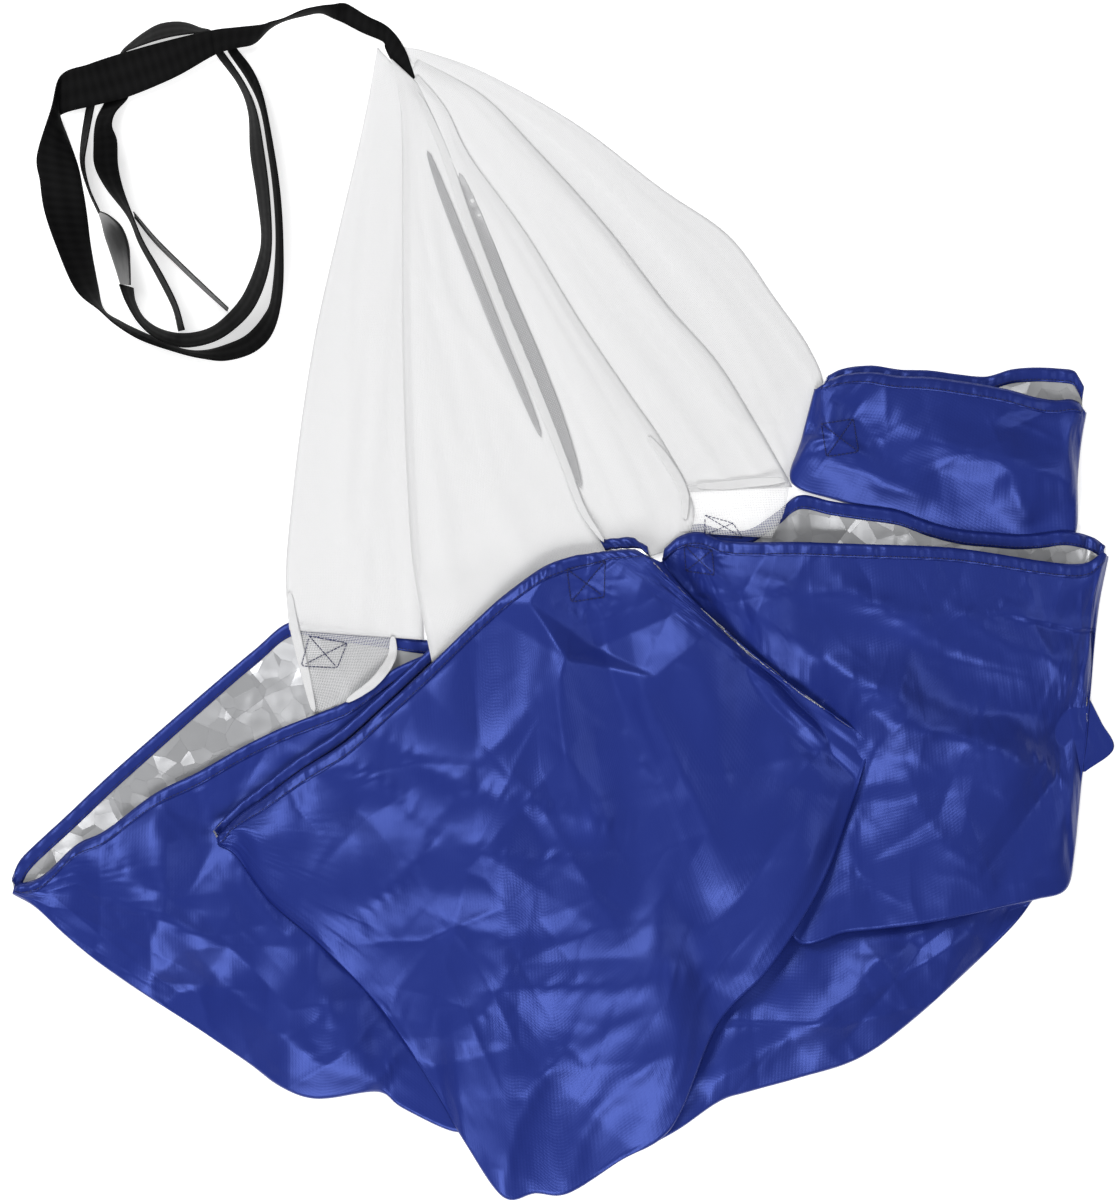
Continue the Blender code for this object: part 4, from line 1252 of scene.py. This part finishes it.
def net_panel(name, stations_pixels, net, seed):
    """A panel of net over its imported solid, with soft waves."""
    stations = to_plan(stations_pixels)
    tree = tree_of([name])
    low, high = solid_span(name)

    def plan(steps, columns):
        return ruled(through(stations[:, 0], steps), through(stations[:, 1], steps), columns)

    coarse = plan(NET_COARSE_STEPS, NET_COARSE_COLUMNS)
    shrunk = coarse + NUDGE_SHARE * (coarse.mean(axis=1, keepdims=True) - coarse)
    tall = heights(tree, shrunk, 1, 0.5 * (low + high))
    tall = refined(tall, NET_STEPS, NET_COLUMN_STEPS)
    flat = plan(NET_COARSE_STEPS * NET_STEPS, (NET_COARSE_COLUMNS - 1) * NET_COLUMN_STEPS + 1)
    waves = np.zeros(flat.shape[:-1])
    source = np.random.default_rng(seed)
    for _ in range(NET_FOLDS):
        top, bottom = source.uniform(size=2)
        share = np.linspace(top, bottom, len(flat))[:, None]
        line = flat[:, 0] + share * (flat[:, -1] - flat[:, 0])
        away, _ = line_distance(flat, line[::NET_STEPS])
        waves += source.uniform(*NET_FOLD_HEIGHTS) * ridge(away, source.uniform(*NET_FOLD_HALF_WIDTHS))
    waves = np.clip(waves + drawn_folds(flat, NET_FOLDS_PIXELS), 0, MOST_NET_WAVE)
    grid = np.concatenate([flat, (tall + waves)[..., None]], axis=-1)
    return thickened(sheet_object(f"{name}_cloth", grid, net), NET_THICKNESS, -1), grid


def net_strip(name, line_pixels, width, tree, middle, net, seed, taper):
    """A narrow strip of net along a line, over a shape, with small puckers."""
    line = through(to_plan(line_pixels), NET_HEM_STEPS)
    along = np.gradient(line, axis=0)
    across = np.stack([-along[:, 1], along[:, 0]], axis=-1)
    across /= np.linalg.norm(across, axis=-1)[:, None]
    shares = np.linspace(-1, 1, HEM_COLUMNS)
    narrowed = np.sin(np.pi * np.linspace(0, 1, len(line))) ** taper
    half = 0.5 * width * narrowed[:, None, None]
    flat = line[:, None] + half * shares[None, :, None] * across[:, None]
    tall = blurred(heights(tree, flat, 1, middle), STRIP_BLUR)
    round_over = np.cos(0.5 * np.pi * shares) ** CROWN_POWER
    wave = waviness(lengths_along(line), seed)[:, None] * NET_PUCKER * round_over
    grid = np.concatenate([flat, (tall + wave)[..., None]], axis=-1)
    return thickened(sheet_object(f"{name}_cloth", grid, net), NET_HEM_THICKNESS, -1), grid


# Materials


class Shader:
    """A material and short ways to add nodes to it."""

    def __init__(self, name):
        self.material = bpy.data.materials.new(name)
        self.material.use_nodes = True
        self.nodes = self.material.node_tree.nodes
        self.links = self.material.node_tree.links
        self.surface = self.nodes["Principled BSDF"]
        self.output = self.nodes["Material Output"]

    def add(self, kind, inputs=(), **settings):
        """A node with these settings; each input is a value or another node's socket."""
        node = self.nodes.new(kind)
        for key, value in settings.items():
            setattr(node, key, value)
        self.fill(node.inputs, inputs)
        return node

    def fill(self, sockets, inputs):
        """Gives sockets their values, or links them to other nodes' sockets."""
        for key, value in dict(inputs).items():
            if isinstance(value, bpy.types.NodeSocket):
                self.links.new(value, sockets[key])
            else:
                sockets[key].default_value = value

    def paint(self, inputs):
        """Gives the surface these inputs, and gives back the material."""
        self.fill(self.surface.inputs, inputs)
        return self.material

    def place(self, kind):
        """The point being shaded: on the flat cloth (UV) or in the scene (Object), in metres."""
        return self.add("ShaderNodeTexCoord").outputs[kind]

    def sum(self, first, second, operation="ADD"):
        """Two values added, or put together in another way."""
        return self.add("ShaderNodeMath", {0: first, 1: second}, operation=operation).outputs[0]

    def ramp(self, value, low, high):
        """The value spread from low to high over 0 to 1."""
        inputs = {"Value": value, "From Min": low, "From Max": high}
        return self.add("ShaderNodeMapRange", inputs).outputs["Result"]

    def mix(self, share, first, second):
        """A colour between two others."""
        node = self.add("ShaderNodeMix", data_type="RGBA")
        sockets = {socket.name: socket for socket in node.inputs if socket.enabled}
        self.fill(sockets, {"Factor": share, "A": (*first, 1), "B": (*second, 1)})
        return next(socket for socket in node.outputs if socket.enabled)

    def bump(self, height, distance, normal=None):
        """The surface's direction with a relief, over an earlier one if there is any."""
        inputs = {"Height": height, "Distance": distance}
        if normal is not None:
            inputs["Normal"] = normal
        return self.add("ShaderNodeBump", inputs).outputs["Normal"]


def grain(shader, space, scale, detail):
    """Fine, even noise."""
    inputs = {"Vector": shader.place(space), "Scale": scale, "Detail": detail}
    return shader.add("ShaderNodeTexNoise", inputs).outputs[0]


def crinkles(shader, details):
    """Large and small sharp ridges all over, as thin cloth shows once it has been crumpled."""
    made = []
    for scale, detail in zip((LARGE_CRINKLES, SMALL_CRINKLES), details):
        inputs = {"Vector": shader.place("Object"), "Scale": scale, "Detail": detail}
        inputs["Roughness"] = CRINKLE_ROUGHNESS
        noise = shader.add("ShaderNodeTexNoise", inputs, noise_type="RIDGED_MULTIFRACTAL")
        made.append(noise.outputs[0])
    return made


def foil(shader, cells):
    """Small flat facets, each with a slope of its own, as crumpled foil shows."""
    place = shader.place("Object")
    made = shader.add("ShaderNodeTexVoronoi", {"Vector": place, "Scale": cells}).outputs
    inputs = {0: place, 1: made["Position"]}
    away = shader.add("ShaderNodeVectorMath", inputs, operation="SUBTRACT").outputs[0]
    inputs = {0: made["Color"], 1: MIDDLE_GREY}
    slope = shader.add("ShaderNodeVectorMath", inputs, operation="SUBTRACT").outputs[0]
    return shader.add("ShaderNodeVectorMath", {0: away, 1: slope}, operation="DOT_PRODUCT").outputs["Value"]


def threads(shader, pitch, direction, distortion=0.0):
    """Threads side by side, this far apart, on the flat cloth."""
    inputs = {"Vector": shader.place("UV"), "Scale": WAVE_SCALE / pitch, "Distortion": distortion}
    return shader.add("ShaderNodeTexWave", inputs, bands_direction=direction).outputs["Fac"]


def canopy_cloth(name, colours):
    """Satin: deep blue, with a painted highlight that makes it brighter on the ridges of its crinkles, and a
    soft shine.
    """
    shader = Shader(name)
    large, small = crinkles(shader, CRINKLE_DETAILS)
    weave = shader.sum(threads(shader, CLOTH_PITCH, "X"), threads(shader, CLOTH_PITCH, "Y"))
    # Painted highlight: the colour turns to the lighter blue on the ridges of the large crinkles, where
    # light would catch them
    shade = shader.mix(shader.ramp(large, *CRINKLE_RANGE), *colours)
    normal = shader.bump(large, LARGE_CRINKLE_HEIGHT)
    normal = shader.bump(small, SMALL_CRINKLE_HEIGHT, normal)
    normal = shader.bump(weave, WEAVE_HEIGHT, normal)
    worn = shader.ramp(small, *CRINKLE_RANGE)
    rough = shader.sum(SATIN_ROUGHNESS, shader.sum(worn, ROUGHNESS_SPREAD, "MULTIPLY"))
    inputs = {
        "Base Color": shade,
        "Roughness": rough,
        "Normal": normal,
        "Specular IOR Level": SATIN_SHINE,
        "Specular Tint": (*SATIN_TINT, 1),
    }
    return shader.paint(inputs)


def silver_coating():
    """The coated inside of the cloth: pale metal with crinkles, paler on their ridges and darker in their
    hollows by painted highlight and shade.
    """
    shader = Shader("Silver coating")
    large, small = crinkles(shader, SILVER_DETAILS)
    normal = shader.bump(large, SILVER_CRINKLE * LARGE_CRINKLE_HEIGHT)
    normal = shader.bump(small, SILVER_CRINKLE * SMALL_CRINKLE_HEIGHT, normal)
    for cells, tilt in zip(FOIL_CELLS, FOIL_TILTS):
        normal = shader.bump(foil(shader, cells), tilt, normal)
    inputs = {
        # Painted shade and highlight: darker grey in the hollows of the large crinkles, paler silver on
        # their ridges
        "Base Color": shader.mix(shader.ramp(large, *CRINKLE_RANGE), *SILVERS),
        "Metallic": SILVER_METAL,
        "Roughness": SILVER_ROUGHNESS,
        "Normal": normal,
    }
    return shader.paint(inputs)


def net_fabric(name, cover, colour):
    """White net: threads round small holes that can be seen through."""
    shader = Shader(name)
    inputs = {"Vector": shader.place("UV"), "Scale": 1 / NET_PITCH, "Randomness": NET_RANDOMNESS}
    cells = shader.add("ShaderNodeTexVoronoi", inputs, feature="DISTANCE_TO_EDGE", voronoi_dimensions="2D")
    holes = shader.ramp(cells.outputs["Distance"], *cover)
    normal = shader.bump(cells.outputs["Distance"], NET_THREAD)
    shader.paint({"Base Color": (*colour, 1), "Roughness": NET_ROUGHNESS, "Normal": normal})
    glow = shader.add("ShaderNodeBsdfTranslucent", {"Color": (*colour, 1)})
    body = shader.add("ShaderNodeMixShader", {0: NET_GLOW, 1: shader.surface.outputs[0], 2: glow.outputs[0]})
    clear = shader.add("ShaderNodeBsdfTransparent")
    both = shader.add("ShaderNodeMixShader", {0: holes, 1: body.outputs[0], 2: clear.outputs[0]})
    shader.links.new(both.outputs[0], shader.output.inputs["Surface"])
    return shader.material


def webbing_fabric():
    """Black webbing: fine ribs across and a groove between its rows of yarn."""
    shader = Shader("Webbing")
    ribs = threads(shader, RIB_PITCH, "Y", RIB_DISTORTION)
    height = shader.sum(ribs, threads(shader, YARN_PITCH, "X"))
    fine = grain(shader, "UV", GRAIN_SCALE, WEBBING_DETAIL)
    inputs = {
        # Painted shade and highlight: the black is lighter on the crests of the ribs and darker in the
        # grooves between them, and varied by a fine grain
        "Base Color": shader.mix(shader.sum(height, fine, "MULTIPLY"), *BLACKS),
        "Roughness": WEBBING_ROUGHNESS,
        "Specular IOR Level": WEBBING_SHINE,
        "Normal": shader.bump(height, RIB_HEIGHT),
    }
    return shader.paint(inputs)


def plain(name, colour, roughness, bump_scale, bump_height, sheen=0.0):
    """One colour with a fine grain."""
    shader = Shader(name)
    inputs = {
        "Base Color": (*colour, 1),
        "Roughness": roughness,
        "Sheen Weight": sheen,
        "Normal": shader.bump(grain(shader, "Object", bump_scale, PLAIN_DETAIL), bump_height),
    }
    return shader.paint(inputs)


# Floor, light and camera


def floor():
    """A white floor that is a little brighter to the camera, so that it stays white under soft shadows."""
    points = np.array([(-1, -1, 0), (1, -1, 0), (1, 1, 0), (-1, 1, 0)]) * FLOOR_HALF
    points[:, 2] = FLOOR_HEIGHT
    shader = Shader("Floor")
    inputs = {
        "Base Color": (*FLOOR_COLOUR, 1),
        "Roughness": 1,
        "Specular IOR Level": 0,
        "Emission Color": (*FLOOR_LIGHT, 1),
        "Emission Strength": white_rays(shader),
    }
    mesh_object("Floor", points, np.array([(0, 1, 2, 3)]), [shader.paint(inputs)])


def white_rays(shader):
    """The floor's own light, for rays that come from the camera."""
    path = shader.add("ShaderNodeLightPath").outputs
    seen = shader.sum(path["Is Camera Ray"], path["Is Glossy Ray"], "MAXIMUM")
    seen = shader.sum(seen, path["Is Transmission Ray"], "MAXIMUM")
    return shader.sum(seen, FLOOR_GLOW, "MULTIPLY")


def world():
    """Soft light from all round, and white to the camera."""
    made = bpy.data.worlds.new("Studio")
    bpy.context.scene.world = made
    made.use_nodes = True
    nodes = made.node_tree.nodes
    links = made.node_tree.links
    back = nodes["Background"]
    path = nodes.new("ShaderNodeLightPath")
    strength = nodes.new("ShaderNodeMapRange")
    strength.inputs["To Min"].default_value = WORLD_LIGHT
    strength.inputs["To Max"].default_value = 1
    links.new(path.outputs["Is Camera Ray"], strength.inputs["Value"])
    links.new(strength.outputs["Result"], back.inputs["Strength"])
    back.inputs["Color"].default_value = (*WORLD_COLOUR, 1)


def lamp(name, azimuth, elevation, distance, size, power):
    """A square soft light that faces the object, from a compass direction and a height above it."""
    data = bpy.data.lights.new(name, "AREA")
    data.size = size
    data.energy = power
    made = link(bpy.data.objects.new(name, data))
    turn = np.radians(azimuth)
    rise = np.radians(elevation)
    away = Vector((np.sin(turn) * np.cos(rise), np.cos(turn) * np.cos(rise), np.sin(rise)))
    made.location = distance * away
    made.rotation_euler = away.to_track_quat("Z", "Y").to_euler()


def camera():
    """A long lens straight above, so that the picture's points fall where the plan has them."""
    data = bpy.data.cameras.new("Camera")
    data.lens = CAMERA_LENS
    data.sensor_width = CAMERA_SENSOR
    made = link(bpy.data.objects.new("Camera", data))
    middle = to_plan((0.5 * PICTURE_PIXELS[0], 0.5 * PICTURE_PIXELS[1]))
    distance = PICTURE_PIXELS[1] * PIXEL * CAMERA_LENS / CAMERA_SENSOR
    made.location = (middle[0], middle[1], distance + CAMERA_FOCUS_HEIGHT)
    data.clip_end = CAMERA_REACH * distance
    bpy.context.scene.camera = made


# Putting it together


def flat_size(grid):
    """How wide and how long a sheet is when it is laid flat, and its area."""
    width = np.linalg.norm(np.diff(grid, axis=1), axis=-1).sum(axis=1).max()
    length = np.linalg.norm(np.diff(grid, axis=0), axis=-1).sum(axis=0).max()
    squares = np.cross(grid[1:, 1:] - grid[:-1, :-1], grid[:-1, 1:] - grid[1:, :-1])
    area = 0.5 * np.linalg.norm(squares, axis=-1).sum()
    return (float(width), float(length)), float(min(area, width * length))


def show(piece, nodes, body):
    """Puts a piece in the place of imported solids, on the body that it moves with."""
    if body is not None:
        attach(piece, body)
    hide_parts(*nodes)


def hem_flat(seam):
    """A hem's flat size: its width, and the length of its seam."""
    return HEM_WIDTH, float(np.linalg.norm(np.diff(seam, axis=0), axis=-1).sum())


def canopy(cloth, silver, hem_cloth, thread):
    """The five pockets with their hems. Gives their shapes for what is sewn on them."""
    pieces = []
    for name, ribs, folds, degrees, seed in POCKETS:
        own = (f"canopy_{name}_lobe", f"{name}_near_hem", f"{name}_far_hem")
        others = [node for node in SOFT_NODES if node not in own]
        lobe = Lobe(name, ribs, folds, others, seed).build(cloth, silver)
        show(lobe.piece, own[:1], "canopy")
        pieces.append(lobe.piece)
        seams = []
        layers = (lobe.upper, lobe.lower + (0, 0, CLOTH))
        for step, (node, layer) in enumerate(zip(own[1:], layers)):
            piece, seam = hem(f"{node}_cloth", layer[1:-1], hem_cloth, seed + step)
            show(piece, [node], "canopy")
            hem_flat(seam)
            pieces.append(piece)
            seams.append(seam)
        sewn = stitches(f"{name}_hem_stitches", seams, thread)
        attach(sewn, "canopy")
    return pieces


def folded(grid):
    """Measures how large a folded sheet is when it's laid flat, on the grid that it was made over; nothing
    uses the result.
    """
    flat, area = flat_size(grid)


def corner(cloth):
    """The small corner of the canopy that points out from under the right pocket."""
    piece, grid = net_panel("canopy_corner", CORNER_PIXELS, cloth, CORNER_SEED)
    show(piece, ["canopy_corner"], "canopy")
    folded(grid)
    return piece


def funnel(net, hem_net, thin, shade_net):
    """The mesh panels, their hems, and strips of grey net beside the front hem that paint shade on the
    panels.
    """
    pieces = []
    for seed, (node, stations) in enumerate(PANELS):
        piece, grid = net_panel(node, stations, thin if node.endswith("_tab") else net, seed)
        pieces.append((piece, grid, node))
    for seed, (node, line) in enumerate(NET_HEMS):
        middle = 0.5 * sum(solid_span(node))
        tree = tree_of([node])
        piece, grid = net_strip(node, line, NET_HEM_WIDTH, tree, middle, hem_net, seed, HEM_TAPER)
        pieces.append((piece, grid, node))
    # Grey net strips a little above the panels: painted shade beside the front hem
    tree = tree_of([node for node, _ in PANELS])
    for seed, (line, width) in enumerate(NET_SHADE_STRIPS_PIXELS):
        piece, grid = net_strip(f"mesh_strip_{seed}", line, width * PIXEL, tree, 0, shade_net, seed, STRIP_TAPER)
        piece.location.z = NET_STRIP_LIFT
        pieces.append((piece, grid, None))
    for piece, grid, node in pieces:
        show(piece, [node] if node else [], "canopy")
        folded(grid)
    return [piece for piece, _, _ in pieces]


def sewn_boxes(cloth_pieces, net_pieces, thread):
    """The crossed boxes that hold the mesh to the canopy."""
    both = tree_of([piece.name for piece in cloth_pieces + net_pieces])
    paths = []
    for corners in BOXES_ON_NET_PIXELS + BOXES_ON_CLOTH_PIXELS:
        paths += sewn_box(corners, both)
    piece = stitches("sewn_boxes", paths, thread)
    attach(piece, "canopy")


def edges(stations, foot, width, most_rise):
    """The low and the high edge of webbing at each station: what its plan lacks in width, it rises."""
    high = to_plan([station[0] for station in stations])
    low = to_plan([station[1] for station in stations])
    base = foot + width * np.array([station[2] for station in stations])
    across = np.linalg.norm(high - low, axis=-1)
    rise = np.minimum(np.sqrt(np.maximum(width**2 - across**2, 0)), most_rise)
    low = np.concatenate([low, base[:, None]], axis=-1)
    high = np.concatenate([high, (base + rise)[:, None]], axis=-1)
    return np.stack([low, high], axis=1)


def tucked(both_edges, at_start, at_end):
    """Lowers a turn's high edge towards its ends, where it slips in under the upper band."""
    count = len(TUCK_SHARES)
    for wanted, places in ((at_start, range(count)), (at_end, range(-1, -count - 1, -1))):
        if wanted:
            for place, share in zip(places, TUCK_SHARES):
                low, high = both_edges[place, :, 2]
                both_edges[place, 1, 2] = low + share * (high - low)
    return both_edges


def strap(name, grid, fabric):
    """A stretch of webbing over a grid of points, with its thickness and soft edges."""
    piece = thickened(sheet_object(name, grid, fabric), WEBBING_THICKNESS, 0)
    bevel = piece.modifiers.new("Soft edges", "BEVEL")
    bevel.width = STRAP_EDGE
    bevel.segments = STRAP_EDGE_STEPS
    apply_modifiers(piece)
    piece.data.shade_smooth()
    return piece


def strap_grid(both_edges):
    """Points over webbing between its edges, curved a little across."""
    curve = through(both_edges, STRAP_STEPS)
    low, high = curve[:, 0], curve[:, 1]
    bow = np.cross(high - low, np.gradient(curve.mean(axis=1), axis=0))
    bow /= np.linalg.norm(bow, axis=-1)[:, None]
    arch = np.sin(np.pi * np.linspace(0, 1, STRAP_COLUMNS))[None, :, None]
    return ruled(low, high, STRAP_COLUMNS) + STRAP_BOW * arch * bow[:, None]


def main_strap(belt_low, fabric):
    """The strap from the apex round the belt's outer turn, in three stretches that meet where the joints
    are.
    """
    tab_low, _ = solid_span("apex_tab")
    lead_low, _ = solid_span("lead_strap")
    tab = edges([(*pair, 0) for pair in APEX_TAB_PIXELS[::-1]], tab_low, 0, 0)
    lead = edges(LEAD_STATIONS[1:], lead_low, LEAD_WIDTH, LEAD_RISE)
    band = edges(UPPER_BAND_STATIONS[1:], belt_low, WEBBING_WIDTH, BAND_RISE)
    outer = tucked(edges(OUTER_TURN_STATIONS[1:], belt_low, WEBBING_WIDTH, WEBBING_WIDTH), False, True)
    tab[..., 2] += 0.5 * WEBBING_THICKNESS
    lead[..., 2] += 0.5 * WEBBING_THICKNESS
    whole = strap_grid(np.concatenate([tab, lead, band, outer]))
    first_cut = STRAP_STEPS * (len(tab) + LEAD_CUT_STATION)
    second_cut = STRAP_STEPS * (len(tab) + len(lead) + BAND_CUT_STATION)
    made = []
    for name, nodes, grid, bend in (
        ("apex_strap", ["apex_tab", "lead_strap"], whole[: first_cut + 1], ("lead_lift", "canopy", "lead")),
        ("lead_webbing", [], whole[first_cut : second_cut + 1], ("belt_swing", "lead", "belt")),
        ("belt_webbing", ["belt_upper_band", "belt_outer_turn"], whole[second_cut:], None),
    ):
        piece = strap(name, grid, fabric)
        if bend:
            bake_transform(piece)
        show(piece, nodes, None if bend else "belt")
        made.append((piece, grid))
    return made


def webbing(fabric, hook_fabric, loop_fabric):
    """The strap from the apex to the belt in one line, and the belt's other turns."""
    belt_low, _ = solid_span("belt_outer_turn")
    made = main_strap(belt_low, fabric)
    for node, stations, tucks, made_of, slot_name in (
        ("belt_back_turn", BACK_TURN_STATIONS, (True, True), fabric, "webbing"),
        ("belt_inner_turn", INNER_TURN_STATIONS, (False, True), fabric, "webbing"),
        ("belt_end", BELT_END_STATIONS, (True, False), fabric, "webbing"),
        ("belt_return", BELT_RETURN_STATIONS, (True, False), fabric, "webbing"),
        ("hook_tape", HOOK_TAPE_STATIONS, (False, False), hook_fabric, "hook_tape"),
        ("loop_tape", LOOP_TAPE_STATIONS, (False, False), loop_fabric, "loop_tape"),
    ):
        grid = strap_grid(tucked(edges(stations, belt_low, WEBBING_WIDTH, WEBBING_WIDTH), *tucks))
        piece = strap(f"{node}_webbing", grid, made_of)
        show(piece, [node], "belt")
        made.append((piece, grid))
    for piece, grid in made:
        folded(grid)


SOFT_NODES = [
    name
    for name in frame["nodes"]
    if name.startswith(("canopy_", "mesh_")) or name.endswith(("_far_hem", "_near_hem"))
]

# Pockets from the lowest up: ribs, drawn folds, degrees of the round canopy, seed
POCKETS = (
    ("lower", LOWER_RIBS_PIXELS, LOWER_FOLDS_PIXELS, 26.0, 11),
    ("upper", UPPER_RIBS_PIXELS, UPPER_FOLDS_PIXELS, 22.5, 23),
    ("right", RIGHT_RIBS_PIXELS, RIGHT_FOLDS_PIXELS, 75.0, 35),
    ("left", LEFT_RIBS_PIXELS, LEFT_FOLDS_PIXELS, 75.0, 47),
    ("front", FRONT_RIBS_PIXELS, FRONT_FOLDS_PIXELS, 131.0, 59),
)
PANELS = (
    ("mesh_far_panel", MESH_FAR_PIXELS),
    ("mesh_right_panel", MESH_RIGHT_PIXELS),
    ("mesh_middle_panel", MESH_MIDDLE_PIXELS),
    ("mesh_front_panel", MESH_FRONT_PIXELS),
    ("mesh_left_panel", MESH_LEFT_PIXELS),
    ("mesh_left_tab", MESH_LEFT_TAB_PIXELS),
    ("mesh_right_tab", MESH_RIGHT_TAB_PIXELS),
)
NET_HEMS = (
    ("mesh_front_hem", MESH_FRONT_HEM_PIXELS),
    ("mesh_left_hem", MESH_LEFT_HEM_PIXELS),
    ("mesh_tab_hem", MESH_TAB_HEM_PIXELS),
    ("mesh_middle_hem", MESH_MIDDLE_HEM_PIXELS),
    ("mesh_right_hem", MESH_RIGHT_HEM_PIXELS),
)


def main():
    """Builds the whole picture."""
    cloth = canopy_cloth("Satin", BLUES)
    hem_cloth = canopy_cloth("Hem satin", HEM_BLUES)
    thread = plain("Thread", THREAD_BLUE, THREAD_ROUGHNESS, GRAIN_SCALE, THREAD_GRAIN)
    cloth_pieces = canopy(cloth, silver_coating(), hem_cloth, thread)
    cloth_pieces.append(corner(cloth))
    net = net_fabric("Net", NET_COVER, NET_WHITE)
    hem_net = net_fabric("Doubled net", HEM_COVER, NET_WHITE)
    thin = net_fabric("Thin net", THIN_COVER, NET_WHITE)
    # The grey sheer net is painted shade beside the front hem
    net_pieces = funnel(net, hem_net, thin, net_fabric("Sheer net with painted shade", SHEER_COVER, NET_SHADE_GREY))
    sewn_boxes(cloth_pieces, net_pieces, thread)
    hook = plain("Hook tape", HOOK_BLACK, HOOK_ROUGHNESS, HOOK_GRAIN_SCALE, HOOK_GRAIN)
    loop = plain("Loop tape", LOOP_BLACK, LOOP_ROUGHNESS, GRAIN_SCALE, LOOP_GRAIN, LOOP_SHEEN)
    webbing(webbing_fabric(), hook, loop)
    floor()
    world()
    for name, *settings in LAMPS:
        lamp(name, *settings)
    camera()
    bpy.context.scene.view_settings.view_transform = "Standard"


main()
